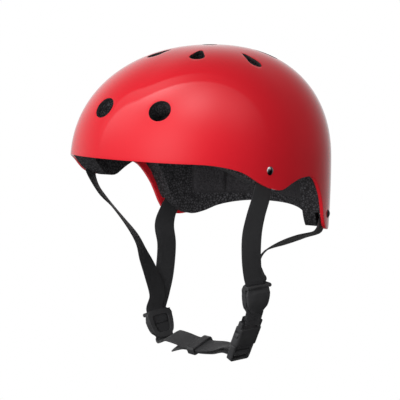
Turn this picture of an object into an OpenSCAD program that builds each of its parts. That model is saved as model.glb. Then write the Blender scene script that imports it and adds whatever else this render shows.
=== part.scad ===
// Hard-shell sport helmet with vents, foam liner, comfort pads and a buckled webbing harness.
// Front is -Y, the wearer's left is +X, and Z = 0 is the widest level, where the head is held.

/* [Shell] */
// Width of the shell at its widest level
shell_w = 210; // [200:1:220]
// Reach of the shell from the head's axis to the brow
brow_reach = 138.5; // [132:0.5:146]
// Reach of the shell from the head's axis to the nape
nape_reach = 129.5; // [123:0.5:137]
// Height of the crown above the widest level
crown_h = 110; // [104:1:116]
// Wall of the moulded shell
shell_t = 3; // [2.4:0.1:3.6]
// Squareness of the plan outline: 2 is an ellipse
plan_sq = 2.39; // [2.2:0.01:2.6]
// Squareness of the dome's profile: 2 is an ellipse
dome_sq = 2.2; // [2.05:0.01:2.4]
// How much wider the brow is than the nape, as a share of the width
flare = 0.08; // [0:0.01:0.1]
// How far the skirt's foot draws in at the nape
tuck = 2.4; // [0:0.1:4]

/* [Rim] */
// Height of the brow edge above the widest level
brow_rise = 14.5; // [10:0.5:20]
// Drop of the temple points below the widest level
temple_drop = 14.6; // [12:0.2:18]
// Drop of the ear arch's top below the widest level
ear_drop = 7; // [5:0.5:9]
// Drop of the nape's two corners below the widest level
nape_drop = 65; // [60:0.5:68]
// Drop of the nape's middle below the widest level
back_drop = 50.5; // [46:0.5:54]
// Rounding of the shell's edge
edge_r = 0.9; // [0.6:0.1:1.1]

/* [Vents] */
// Diameter of the round brow and nape vents
vent_d = 20.5; // [17:0.5:24]
// Half the distance between the two brow vents, and between the two nape vents
vent_half_gap = 30.5; // [26:0.5:34]
// Plan distance of the brow vents in front of the head's axis
brow_vent_y = 119; // [114:0.5:122]
// Plan distance of the nape vents behind the head's axis
nape_vent_y = 110; // [104:0.5:113]
// Length of a teardrop vent on top
drop_l = 25; // [20:0.5:29]
// Radius of a teardrop vent's broad end
drop_r = 7.1; // [6:0.1:8.5]
// Radius of a teardrop vent's narrow end
drop_tip_r = 2.2; // [1.5:0.1:3]
// Diameter of the vent at the crown
crown_vent_d = 14.5; // [12:0.5:20]
// Plan distance from the crown to the narrow ends of the teardrops
drop_ring = 41; // [37:0.5:45]
// How much wider each vent is in the liner than in the shell, all round
vent_flare = 0.8; // [0.4:0.1:1.5]

/* [Liner and pads] */
// Thickness of the foam liner
liner_t = 18; // [15:0.5:21]
// How far the liner's edge stays inside the shell's edge over the ears
liner_recess = 5; // [3:0.25:6]
// Thickness of the comfort pads at their crown
pad_t = 8; // [6:0.5:10]
// Thickness of the crown pad
crown_pad_t = 7; // [5:0.5:8]
// Height of the brow and side pads
pad_h = 34; // [28:1:38]
// Diameter of a hook-and-loop patch
patch_d = 20; // [16:1:22]
// Thickness of a hook-and-loop patch
patch_t = 1.6; // [1.2:0.1:2]
// Gap left between pieces that lie against each other
seat_gap = 0.3; // [0.25:0.05:0.4]

/* [Webbing and rivets] */
// Width of the webbing
web_w = 20; // [18:0.5:20.5]
// Thickness of the webbing
web_t = 1.4; // [1.1:0.1:1.5]
// Diameter of a rivet's domed head
rivet_head_d = 8.2; // [7.4:0.2:9]
// Height of a rivet's domed head
rivet_head_h = 1.9; // [1.4:0.1:2.4]
// Diameter of a rivet's shank
rivet_shank_d = 4.8; // [4:0.1:5.2]
// Diameter of the washer behind the webbing
washer_d = 12; // [10:0.5:14]
// Thickness of the washer
washer_t = 1; // [0.8:0.1:1.2]

/* [Strap dividers] */
// Height of a divider
divider_h = 28.5; // [27:0.5:31]
// Wall of the divider's tray
divider_wall = 1.6; // [1.2:0.1:2]
// Thickness of the divider's lock
lock_t = 2.2; // [1.8:0.1:2.6]
// Diameter of the lock's hinge pin
lock_pin_d = 2; // [1.8:0.1:2.2]

/* [Buckle] */
// Width of the buckle
buckle_w = 27.4; // [26.8:0.2:29]
// Thickness of the buckle
buckle_t = 8.8; // [8.2:0.2:9.6]
// Length of the socket's closed body
socket_l = 18; // [17.5:0.5:20]
// Diameter of the bars that the webbing goes round
bar_d = 3.4; // [3:0.1:3.6]
// Clear height of the slots beside those bars
slot_h = 3.4; // [3.3:0.1:3.7]
// How far a released arm stands out of the socket's side window
arm_reach = 0.4; // [0.2:0.1:0.8]
// Length of the strap keeper along the webbing
keeper_l = 10; // [8:0.5:12]
// Wall of the strap keeper
keeper_wall = 1.8; // [1.4:0.1:2.2]

/* [Hidden] */

red = "#d8232b";
black = "#1b1b1d";
foam_grey = "#2c2d30";
cloth_grey = "#26282a";
web_black = "#202022";
steel = "#c9ccd0";

// Insets of the layers below the shell's outer face; the flat facets of two shells need the wider gap
liner_gap = seat_gap + 0.4;
liner_out = shell_t + liner_gap;
liner_in = liner_out + liner_t;
pad_back = liner_in + 0.8;
// Room for the webbing's flat width inside the curved wall
wall_sag = 1.1;
strap_mid = shell_t + seat_gap + wall_sag + web_t / 2;
// How far a flat patch lies below the liner's curved face
patch_sink = 0.5;

// Wall height that one degree of the profile covers below the widest level
wall_step = 1.6;

// Azimuth stations: close together over the temples and ear arches, wider elsewhere
half_az = concat([for (a = [0 : 6 : 54]) a], [for (a = [58.5 : 3 : 118.5]) a],
    [for (a = [124 : 6.2 : 174]) a]);
stations = concat(half_az, [180], [for (i = [len(half_az) - 1 : -1 : 1]) 360 - half_az[i]]);
shell_rings = 12;
liner_rings = 9;

function unit(v) = v / norm(v);
function spow(v, e) = sign(v) * pow(abs(v), e);
function mix(a, b, t) = a + (b - a) * t;

// Catmull-Rom value between b and c
function spline(a, b, c, d, t) =
    (2 * b + (c - a) * t + (2 * a - 5 * b + 4 * c - d) * t * t
        + (3 * b - a - 3 * c + d) * t * t * t) / 2;

// Hermite value at x through [x, y] keys whose steps differ, flat at both ends
function key_slope(k, i) = i == 0 || i == len(k) - 1 ? 0
    : (k[i + 1][1] - k[i - 1][1]) / (k[i + 1][0] - k[i - 1][0]);
function through(k, x, i = 0) = i < len(k) - 2 && x > k[i + 1][0] ? through(k, x, i + 1)
    : let (h = k[i + 1][0] - k[i][0], t = (x - k[i][0]) / h,
        t2 = t * t, t3 = t2 * t)
      (2 * t3 - 3 * t2 + 1) * k[i][1] + (t3 - 2 * t2 + t) * h * key_slope(k, i)
        + (3 * t2 - 2 * t3) * k[i + 1][1] + (t3 - t2) * h * key_slope(k, i + 1);

// Edge of the shell: azimuth from the brow, height
rim_keys = [[0, brow_rise], [26, brow_rise - 0.8], [42, brow_rise - 2.8],
    [56, (brow_rise - temple_drop) / 2 + 4.8], [68, -temple_drop + 5.6], [77, -temple_drop],
    [84, -(temple_drop + ear_drop) / 2 + 1], [90, -ear_drop], [96.5, -ear_drop - 4],
    [103.7, -nape_drop / 2 + 1], [109.2, -nape_drop + 8.5], [118, -nape_drop],
    [130, -nape_drop + 3], [141, -(nape_drop + back_drop) / 2 + 1.5], [158, -back_drop - 1.8],
    [180, -back_drop]];
function side_az(a) = a > 180 ? 360 - a : a;
function rim_z(a) = through(rim_keys, side_az(a));
// The liner's edge shows below the shell's at the temples, is level with it at the nape and is
// recessed between: azimuth, share of the recess
recess_keys = [[0, 0.6], [40, 0.2], [55, -0.6], [66, -0.4], [77, 0], [84, 0.3], [90, 0.8], [98, 1.7],
    [106, 2.1], [112, 1.5], [120, 0.4], [130, 0], [180, 0]];
function liner_rim_z(a) = rim_z(a) + liner_recess * through(recess_keys, side_az(a));

// Profile: angle u runs up the dome from 0 to 90, and down the wall below 0
function prof_r(u) = u < 0 ? 1 - tuck / nape_reach * pow(u * wall_step / nape_drop, 2)
    : pow(cos(u), 2 / dome_sq);
function prof_z(u, d) = u < 0 ? u * wall_step : (crown_h - d) * pow(sin(u), 2 / dome_sq);
function u_at(z, d) = z < 0 ? z / wall_step : asin(pow(min(1, z / (crown_h - d)), dome_sq / 2));

// Point of the head-shaped surface that lies d inside the shell's outer face
function skin(a, u, d) = let (c = sin(a), s = -cos(a),
    y = prof_r(u) * ((s < 0 ? brow_reach : nape_reach) - d) * spow(s, 2 / plan_sq),
    x = prof_r(u) * (shell_w / 2 - d) * spow(c, 2 / plan_sq) * (1 - flare * y / nape_reach))
    [x, y, prof_z(u, d)];
// The same by height instead of by profile angle
function skin_z(a, z, d) = skin(a, u_at(z, d), d);
// Height of that surface over a point of the plan
function dome_z(x, y, d) = let (l = (y < 0 ? brow_reach : nape_reach) - d,
    w = (shell_w / 2 - d) * (1 - flare * y / nape_reach),
    q = pow(pow(abs(x) / w, plan_sq) + pow(abs(y) / l, plan_sq), 1 / plan_sq))
    (crown_h - d) * pow(max(0, 1 - pow(q, dome_sq)), 1 / dome_sq);
// Outward direction at a plan point of the dome
function dome_out(x, y) = let (e = 0.5)
    unit([(dome_z(x - e, y, 0) - dome_z(x + e, y, 0)) / (2 * e),
        (dome_z(x, y - e, 0) - dome_z(x, y + e, 0)) / (2 * e), 1]);
// Outward direction of the skirt at an azimuth
function wall_out(a, z, d = 0) = let (e = 1, p = skin_z(a + e, z, d) - skin_z(a - e, z, d),
    q = skin_z(a, z + e, d) - skin_z(a, z - e, d)) unit(cross(p, q));

// A frame is [origin, x, y, z]
module put(f) {
    multmatrix([[f[1].x, f[2].x, f[3].x, f[0].x], [f[1].y, f[2].y, f[3].y, f[0].y],
        [f[1].z, f[2].z, f[3].z, f[0].z], [0, 0, 0, 1]]) children();
}
function frame(o, out, up) = let (z = unit(up), y = unit(out - z * (out * z))) [o, cross(y, z), y, z];
// Frame square to a surface: y is its outward direction
function square_frame(o, out) = let (z = unit([0, 0, 1] - out * out.z)) [o, cross(out, z), out, z];
function at(f, p) = f[0] + f[1] * p.x + f[2] * p.y + f[3] * p.z;

// Solid between rows of points that each run once round, closed by an apex at each end
module lathe_rows(rows, first, last) {
    n = len(rows[0]);
    m = len(rows);
    points = concat([for (r = rows) each r], [first, last]);
    walls = [for (j = [0 : m - 2]) for (i = [0 : n - 1]) let (k = (i + 1) % n)
        [j * n + i, (j + 1) * n + i, (j + 1) * n + k, j * n + k]];
    start = [for (i = [0 : n - 1]) [n * m, i, (i + 1) % n]];
    end = [for (i = [0 : n - 1]) [n * m + 1, (m - 1) * n + (i + 1) % n, (m - 1) * n + i]];
    polyhedron(concat(points), concat(walls, start, end), convexity = 10);
}

// Solid between two like grids of points, back and front, with walls all round
module slab(back, front) {
    m = len(back);
    n = len(back[0]);
    o = m * n;
    sheet = [for (i = [0 : m - 2]) for (j = [0 : n - 2])
        [i * n + j, i * n + j + 1, (i + 1) * n + j + 1, (i + 1) * n + j]];
    edge = concat([for (j = [0 : n - 1]) j], [for (i = [1 : m - 1]) i * n + n - 1],
        [for (j = [n - 2 : -1 : 0]) (m - 1) * n + j], [for (i = [m - 2 : -1 : 1]) i * n]);
    e = len(edge);
    polyhedron(concat([for (r = back) each r], [for (r = front) each r]),
        concat(sheet, [for (f = sheet) [f[3] + o, f[2] + o, f[1] + o, f[0] + o]],
        [for (k = [0 : e - 1]) [edge[k], edge[k] + o, edge[(k + 1) % e] + o, edge[(k + 1) % e]]]),
        convexity = 6);
}

// Flat webbing along stations of [x, y, z, across x, across y, across z]
function easy_path(p, n) = [for (i = [0 : len(p) - 2]) for (k = [0 : n - 1])
    spline(p[max(i - 1, 0)], p[i], p[i + 1], p[min(i + 2, len(p) - 1)], k / n), p[len(p) - 1]];
function pos3(s) = [s[0], s[1], s[2]];
function across3(s) = [s[3], s[4], s[5]];
function web_section(p, i, w, t) = let (
    along = unit(pos3(p[min(i + 1, len(p) - 1)]) - pos3(p[max(i - 1, 0)])),
    side = unit(across3(p[i]) - along * (across3(p[i]) * along)),
    face = cross(side, along), c = pos3(p[i]), b = t * 0.3)
    [for (q = [[w / 2, -t / 2 + b], [w / 2, t / 2 - b], [w / 2 - b, t / 2], [-w / 2 + b, t / 2],
        [-w / 2, t / 2 - b], [-w / 2, -t / 2 + b], [-w / 2 + b, -t / 2], [w / 2 - b, -t / 2]])
        c + side * q[0] + face * q[1]];
module webbing(p, w = web_w, t = web_t) {
    m = len(p);
    rows = [for (i = [0 : m - 1]) web_section(p, i, w, t)];
    n = 8;
    // Both faces are split along the same diagonal, so that a twist keeps the thickness
    sides = [for (j = [0 : m - 2]) for (i = [0 : n - 1])
        let (k = (i + 1) % n, a = j * n + i, b = (j + 1) * n + i, c = (j + 1) * n + k, d = j * n + k)
        each (i < n / 2 ? [[a, c, b], [a, d, c]] : [[a, d, b], [b, d, c]])];
    polyhedron([for (r = rows) each r],
        concat([[for (i = [n - 1 : -1 : 0]) i]], [[for (i = [0 : n - 1]) (m - 1) * n + i]], sides),
        convexity = 10);
}

// Rounded outline of a teardrop that lies along X, broad end at the origin side
function teardrop(l, r, tip) = let (d = l - r - tip, a = acos((r - tip) / d))
    concat([for (i = [0 : 10]) let (b = mix(a, 360 - a, i / 10)) [r * cos(b), r * sin(b)]],
        [for (i = [0 : 6]) let (b = mix(-a, a, i / 6)) [d + tip * cos(b), tip * sin(b)]]);

// Vents

top_vents = [for (s = [-1, 1]) for (a = [24, 79, 137]) [s * sin(a), -cos(a)]];
module dome_hole(x, y, aim) {
    out = dome_out(x, y);
    along = unit(aim - out * (aim * out));
    put([[x, y, dome_z(x, y, 0)], along, cross(out, along), out]) children();
}
vent_deep = liner_in + 12;
module vent_cuts(grow) {
    for (s = [-1, 1]) {
        dome_hole(s * vent_half_gap, -brow_vent_y, [1, 0, 0])
            translate([0, 0, -vent_deep]) cylinder(d = vent_d + 2 * grow, h = vent_deep + 10, $fn = 40);
        dome_hole(s * vent_half_gap, nape_vent_y, [1, 0, 0])
            translate([0, 0, -vent_deep]) cylinder(d = vent_d + 2 * grow, h = vent_deep + 10, $fn = 40);
    }
    for (v = top_vents) {
        r = drop_ring + drop_l - drop_r;
        dome_hole(v[0] * r, v[1] * r, [-v[0], -v[1], 0])
            translate([0, 0, -vent_deep]) linear_extrude(vent_deep + 10)
                polygon(teardrop(drop_l + 2 * grow, drop_r + grow, drop_tip_r + grow));
    }
    translate([0, 0, crown_h - vent_deep])
        cylinder(d = crown_vent_d + 2 * grow, h = vent_deep + 10, $fn = 40);
}

// Shell

module bowl(d_out, d_in, rings, low, soft) {
    function ring(d, k) = [for (a = stations)
        skin(a, mix(u_at(low(a) + (k == 0 ? soft : 0), d), 90, k / rings), d)];
    lip = [for (a = stations) skin_z(a, low(a), d_out + soft)];
    lip_in = [for (a = stations) skin_z(a, low(a), d_in - soft)];
    lathe_rows(concat([for (k = [rings - 1 : -1 : 0]) ring(d_in, k)], [lip_in, lip],
        [for (k = [0 : rings - 1]) ring(d_out, k)]),
        [0, 0, crown_h - d_in], [0, 0, crown_h - d_out]);
}

// Rivets stand square to the skirt at an azimuth and a height
front_az = 70.5;
front_z = 4;
rear_az = 116;
rear_z = -49.5;
rivet_spots = [[front_az, front_z], [360 - front_az, front_z], [rear_az, rear_z], [360 - rear_az, rear_z]];
function rivet_frame(a, z, d) = let (out = wall_out(a, z)) square_frame(skin_z(a, z, 0) - out * d, out);

module outer_shell() color(red) difference() {
    bowl(0, shell_t, shell_rings, function (a) rim_z(a), edge_r);
    vent_cuts(0);
    for (r = rivet_spots) put(rivet_frame(r[0], r[1], 0))
        rotate([90, 0, 0]) translate([0, 0, -6]) cylinder(d = rivet_shank_d + 0.2, h = 14, $fn = 32);
}

// Liner, with a pocket for each strap end and a recess for each hook-and-loop patch

pocket_w = web_w + 6;
pocket_d = wall_sag + web_t + washer_t + 3.4;
rear_lean = 32;
module strap_pocket(a, z, lean, rise) {
    put(rivet_frame(a, z, shell_t)) rotate([0, lean, 0])
        translate([-pocket_w / 2, -pocket_d, -50]) cube([pocket_w, pocket_d + 8, 50 + rise]);
}
pad_mid = pad_h / 2 + 6;
patch_spots = concat([for (a = [-38, -14, 14, 38]) [(a + 360) % 360, brow_rise + pad_mid]],
    [for (a = [84, 100, 260, 276]) [a, pad_mid - ear_drop - 1]],
    [for (a = [136, 162, 198, 224]) [a, pad_mid - back_drop + 2]]);
module on_liner(s) {
    put(square_frame(skin_z(s[0], s[1], liner_in), wall_out(s[0], s[1], liner_in)))
        rotate([-90, 0, 0]) children();
}
module foam_liner() color(foam_grey) difference() {
    bowl(liner_out, liner_in, liner_rings, function (a) liner_rim_z(a), 2);
    vent_cuts(vent_flare);
    strap_pocket(front_az, front_z, 0, 14);
    strap_pocket(360 - front_az, front_z, 0, 14);
    strap_pocket(rear_az, rear_z, -rear_lean, 14);
    strap_pocket(360 - rear_az, rear_z, rear_lean, 14);
    for (s = patch_spots) on_liner(s)
        translate([0, 0, -5]) cylinder(d = patch_d + 0.8, h = 5 + patch_t + patch_sink, $fn = 32);
}

// Pads

// Height of a pad at s along and t across: full in the middle, drawn in at the edges
function pillow(s, t, e) = e + (1 - e) * pow(max(0, 1 - pow(abs(2 * s - 1), 5)), 0.45)
    * pow(max(0, 1 - pow(abs(2 * t - 1), 4)), 0.5);
function pad_outline(s) = 0.72 + 0.28 * pow(max(0, 1 - pow(abs(2 * s - 1), 7)), 0.5);
pad_edge = 0.34;
// Cushion on the liner's inner face from azimuth a0 to a1, foot at low, with a channel every few stations
module wall_pad(a0, a1, low, n, channel) {
    m = 8;
    function spot(i, j, d) = let (s = i / n, a = mix(a0, a1, s), q = (1 - pad_outline(s)) / 2,
        v = mix(q, 1 - q, j / m)) skin_z((a + 360) % 360, low + pad_h * v, d);
    function deep(i, j) = pad_t * pillow(i / n, j / m, pad_edge)
        * (i % channel == 0 && i > 0 && i < n ? 0.5 : 1);
    slab([for (i = [0 : n]) [for (j = [0 : m]) spot(i, j, pad_back)]],
        [for (i = [0 : n]) [for (j = [0 : m]) spot(i, j, pad_back + deep(i, j))]]);
}
module brow_pad() color(cloth_grey) wall_pad(-50, 50, brow_rise + 6, 18, 6);
module side_pad_left() color(cloth_grey) wall_pad(74, 110, 5 - ear_drop, 8, 4);
module side_pad_right() color(cloth_grey) wall_pad(-110, -74, 5 - ear_drop, 8, 4);
module nape_pad_left() color(cloth_grey) wall_pad(124, 174, 8 - back_drop, 10, 5);
module nape_pad_right() color(cloth_grey) wall_pad(-174, -124, 8 - back_drop, 10, 5);

// Ring cushion round the crown vent
crown_pad_in = 15;
crown_pad_out = 33;
module crown_pad() {
    n = 32;
    m = 6;
    function spot(i, j, d) = let (r = mix(crown_pad_in, crown_pad_out, j / m), a = 360 * i / n,
        x = r * cos(a), y = r * sin(a)) [x, y, dome_z(x, y, d)];
    function deep(i, j) = crown_pad_t * pillow(0.5, j / m, pad_edge) * (i % 8 == 4 ? 0.55 : 1);
    back = [for (j = [0 : m]) [for (i = [0 : n - 1]) spot(i, j, pad_back)]];
    front = [for (j = [m : -1 : 0]) [for (i = [0 : n - 1]) spot(i, j, pad_back + deep(i, j))]];
    rows = concat(back, front);
    k = len(rows);
    color(cloth_grey) polyhedron([for (r = rows) each r], [for (j = [0 : k - 1]) for (i = [0 : n - 1])
        let (b = (j + 1) % k, c = (i + 1) % n) [j * n + i, j * n + c, b * n + c, b * n + i]],
        convexity = 6);
}

module pad_patches() color(black) for (s = patch_spots) on_liner(s)
    translate([0, 0, patch_sink - seat_gap]) cylinder(d = patch_d, h = patch_t, $fn = 32);

// Rivets and washers

clamp_depth = shell_t + wall_sag + web_t + 2.5 * seat_gap + washer_t;
module rivet(a, z) put(rivet_frame(a, z, 0)) rotate([-90, 0, 0]) {
    r = rivet_head_d / 2;
    ball = (r * r + rivet_head_h * rivet_head_h) / (2 * rivet_head_h);
    translate([0, 0, 0.1]) intersection() {
        translate([0, 0, rivet_head_h - ball]) sphere(r = ball, $fn = 64);
        cylinder(d = rivet_head_d, h = rivet_head_h, $fn = 48);
    }
    translate([0, 0, -clamp_depth - 1.2]) cylinder(d = rivet_shank_d, h = clamp_depth + 1.5, $fn = 32);
    translate([0, 0, -clamp_depth - 1.2]) cylinder(d = rivet_shank_d + 2.4, h = 0.9, $fn = 32);
}
module front_rivet_left() color(steel) rivet(front_az, front_z);
module front_rivet_right() color(steel) rivet(360 - front_az, front_z);
module rear_rivet_left() color(black) rivet(rear_az, rear_z);
module rear_rivet_right() color(black) rivet(360 - rear_az, rear_z);
module rivet_washers() color(steel) for (r = rivet_spots)
    put(rivet_frame(r[0], r[1], clamp_depth)) rotate([-90, 0, 0]) difference() {
        cylinder(d = washer_d, h = washer_t, $fn = 40);
        translate([0, 0, -1]) cylinder(d = rivet_shank_d + 0.2, h = washer_t + 2, $fn = 32);
    }

// Harness frames: x across the webbing, y outward, z up

left_divider = frame([71.6, -30.4, -117], [0.966, -0.259, 0], [0.08, -0.04, 1]);
right_divider = frame([-78.8, 28, -170], [-0.94, 0.34, 0], [-0.38, 0.06, 0.92]);
buckle = frame([66, -29, -140], [0.985, -0.174, 0], [0.407, -0.058, 0.911]);

// Heights of the layers in a divider above its middle plane
rear_layer = -0.4;
front_layer = rear_layer + web_t + seat_gap;
tray_floor = rear_layer - web_t / 2 - seat_gap;
lock_floor = front_layer + web_t / 2 + seat_gap;
// How far the two straps stand apart where they enter a divider
entry = 2.2;

function web_at(f, p, lean = 0) = concat(at(f, p), f[1] * cos(lean) + f[3] * sin(lean));
function turned(s) = [s[0], s[1], s[2], -s[3], -s[4], -s[5]];
// Webbing against the shell's inner face, at an azimuth and a height, leaning towards the brow
function on_wall(a, z, lean) = let (f = rivet_frame(a, z, strap_mid)) web_at(f, [0, 0, 0], lean);

module strap(path, a, z) color(web_black) difference() {
    webbing(path);
    put(rivet_frame(a, z, 0)) rotate([90, 0, 0]) cylinder(d = rivet_shank_d + 0.2, h = 14, $fn = 32);
}

loop_r = bar_d / 2 + 0.25 + web_t / 2;
function round_bar(f, z, from, to, steps) = [for (i = [0 : steps]) let (b = mix(from, to, i / steps))
    web_at(f, [0, loop_r * cos(b), z + loop_r * sin(b)])];

front_left_path = concat(
    easy_path([on_wall(front_az + 0.6, front_z + 9, 12), on_wall(front_az, front_z, 12),
        on_wall(front_az - 1.2, front_z - 12, 10), [93.9, -55.6, -21.4, -0.34, -0.94, 0.05],
        [88.7, -55.8, -37.5, -0.38, -0.92, 0.05], [83.4, -53.5, -54.6, -0.42, -0.9, 0.05],
        [78.2, -46.6, -75.7, -0.38, -0.92, -0.05], [74, -37.6, -94.6, -0.28, -0.95, -0.03],
        web_at(left_divider, [entry - 0.4, front_layer, 13], -5)], 4),
    [web_at(left_divider, [entry * 0.5, front_layer + 0.1, 0], -5),
        web_at(left_divider, [0.3, front_layer + 0.1, -14], -3)],
    round_bar(buckle, 0, 20, -200, 8), [web_at(buckle, [0, -loop_r - 0.2, 5.5])]);
rear_left_path = concat(
    easy_path([on_wall(rear_az + 1.6, rear_z + 8, 25), on_wall(rear_az, rear_z, 30),
        on_wall(rear_az - 4, rear_z - 11, 42), [84.5, 43, -67, 0.84, -0.22, 0.5],
        [79, 20, -69.5, 0.8, -0.26, 0.55], [74.5, 1.5, -71.8, 0.8, -0.36, 0.48],
        [71, -11.5, -76, 0.66, -0.7, 0.28], [68.6, -19.5, -84.5, 0.3, -0.95, 0.1],
        [69.2, -24, -93, -0.1, -0.99, 0], web_at(left_divider, [-entry - 0.5, rear_layer - 0.1, 18], 5),
        web_at(left_divider, [-entry, rear_layer, 13], 4)], 4),
    [web_at(left_divider, [-entry * 0.5, rear_layer, 0], 6),
        web_at(left_divider, [-0.3, rear_layer, -14], 3),
        web_at(buckle, [0, 0.5, 3.2])]);
front_right_path = concat(
    easy_path([on_wall(360 - front_az - 0.6, front_z + 9, -12), on_wall(360 - front_az, front_z, -12),
        on_wall(360 - front_az + 1.2, front_z - 12, -14), [-94, -51, -26, -0.6, 0.74, 0.3],
        [-91, -36.5, -42, -0.78, 0.51, 0.37], [-88, -17, -63, -0.7, 0.65, 0.3],
        [-86, -1, -82, -0.5, 0.82, 0.27], [-85, 8, -99.5, -0.25, 0.92, 0.25],
        [-84.3, 19, -118.5, 0, 0.96, 0.2], [-83, 27.5, -140, 0.2, 0.97, 0.12],
        web_at(right_divider, [-entry - 0.2, rear_layer - 0.6, 17.5], 6),
        web_at(right_divider, [-entry, rear_layer, 13], 6)], 4),
    [web_at(right_divider, [-entry * 0.5, rear_layer, 1], 6)]);
rear_right_path = concat(
    easy_path([on_wall(360 - rear_az - 1.6, rear_z + 8, -25), on_wall(360 - rear_az, rear_z, -30),
        on_wall(360 - rear_az + 4, rear_z - 11, -28), [-90.5, 50, -75, 0.62, 0.78, 0],
        [-85.5, 47, -94, 0.5, 0.86, 0], [-84.5, 42, -121, 0.48, 0.87, 0.02],
        [-85.8, 37, -141, 0.42, 0.9, 0.05],
        web_at(right_divider, [entry + 0.3, front_layer + 0.5, 18], -4),
        web_at(right_divider, [entry, front_layer, 13], -4)], 4),
    [web_at(right_divider, [entry * 0.5, front_layer, 0], -4),
        web_at(right_divider, [0.2, front_layer, -9], -2)]);

module front_strap_left() strap(front_left_path, front_az, front_z);
module rear_strap_left() strap(rear_left_path, rear_az, rear_z);
module front_strap_right() strap(front_right_path, 360 - front_az, front_z);
module rear_strap_right() strap(rear_right_path, 360 - rear_az, rear_z);

// Dividers: a tray that both straps run through, and a hinged lock over them

divider_foot_w = web_w + 1.2 + 2 * divider_wall;
divider_top_w = web_w + 2 * entry + 1.6 + 2 * divider_wall;
// Rounded four-sided outline, narrow at the foot
function trapezoid(top, foot, h, r) = [for (q = [[foot / 2 - r, -h / 2 + r, -90], [top / 2 - r, h / 2 - r, 0],
    [-top / 2 + r, h / 2 - r, 90], [-foot / 2 + r, -h / 2 + r, 180]])
    for (k = [0 : 5]) [q[0] + r * cos(q[2] + 18 * k), q[1] + r * sin(q[2] + 18 * k)]];
// Turns a profile drawn in x and z into a plate between two heights
module plate(y0, y1) translate([0, y1, 0]) rotate([90, 0, 0]) linear_extrude(y1 - y0) children();
lock_axis = lock_floor + lock_pin_d / 2 + 0.9;
lock_z = divider_h / 2 - 2.6;
barrel_r = lock_pin_d / 2 + 0.9;
barrel_w = divider_top_w - 2 * divider_wall - 1;
module divider() {
    difference() {
        plate(tray_floor - divider_wall, lock_floor - seat_gap)
            polygon(trapezoid(divider_top_w, divider_foot_w, divider_h, 6.5));
        plate(tray_floor, lock_floor + 1) polygon([
            [-divider_foot_w / 2 + divider_wall, -divider_h],
            [divider_foot_w / 2 - divider_wall, -divider_h],
            [divider_top_w / 2 - divider_wall, divider_h / 2 - 6],
            [divider_top_w / 2 - divider_wall, divider_h],
            [-divider_top_w / 2 + divider_wall, divider_h],
            [-divider_top_w / 2 + divider_wall, divider_h / 2 - 6]]);
        plate(tray_floor - 2 * divider_wall, lock_floor)
            polygon(trapezoid(divider_top_w - 11, divider_foot_w - 9, divider_h - 11, 3));
    }
    for (s = [-1, 1]) difference() {
        plate_x(s * (divider_top_w / 2 - divider_wall / 2 - 0.2), divider_wall - 0.2) hull_profile();
    }
    translate([-divider_top_w / 2 + 0.6, lock_axis, lock_z]) rotate([0, 90, 0])
        cylinder(d = lock_pin_d, h = divider_top_w - 1.2, $fn = 32);
}
// Ear that carries the lock's hinge pin
module hull_profile() {
    translate([lock_axis, lock_z]) circle(r = barrel_r, $fn = 28);
    translate([tray_floor, lock_z - barrel_r]) square([lock_axis - tray_floor, 2 * barrel_r]);
}
module plate_x(x, w) translate([x - w / 2, 0, 0]) rotate([90, 0, 90]) linear_extrude(w) children();
module divider_lock() {
    ball = 58;
    lid = lock_t + 0.8;
    difference() {
        union() {
            difference() {
                intersection() {
                    plate(lock_floor, lock_floor + lid)
                        polygon(trapezoid(divider_top_w - 1.2, divider_foot_w, divider_h - 1.4, 8.5));
                    translate([-divider_top_w, lock_floor + lid - ball, 0]) rotate([0, 90, 0])
                        cylinder(r = ball, h = 2 * divider_top_w, $fn = 180);
                }
                translate([-divider_top_w, -20, lock_z]) cube([2 * divider_top_w, 60, 20]);
            }
            translate([-barrel_w / 2, lock_axis, lock_z]) rotate([0, 90, 0])
                cylinder(r = barrel_r, h = barrel_w, $fn = 36);
        }
        translate([-divider_top_w, lock_axis, lock_z]) rotate([0, 90, 0])
            cylinder(d = lock_pin_d + 0.16, h = 2 * divider_top_w, $fn = 36);
        for (s = [-1, 1]) translate([s * (barrel_w / 2 + 5) - 5, -20, lock_z - barrel_r - 0.4])
            cube([10, 60, 20]);
    }
}
module divider_left() color(black) put(left_divider) divider();
module divider_right() color(black) put(right_divider) divider();
module divider_lock_left() color(black) put(left_divider) divider_lock();
module divider_lock_right() color(black) put(right_divider) divider_lock();

// Buckle: heights run down from the socket's webbing bar

function rounded(w, h, r) = [for (q = [[w / 2 - r, -h / 2 + r, -90], [w / 2 - r, h / 2 - r, 0],
    [-w / 2 + r, h / 2 - r, 90], [-w / 2 + r, -h / 2 + r, 180]])
    for (k = [0 : 5]) [q[0] + r * cos(q[2] + 18 * k), q[1] + r * sin(q[2] + 18 * k)]];
module tube_z(top, bottom) translate([0, 0, bottom]) linear_extrude(top - bottom) children();

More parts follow.
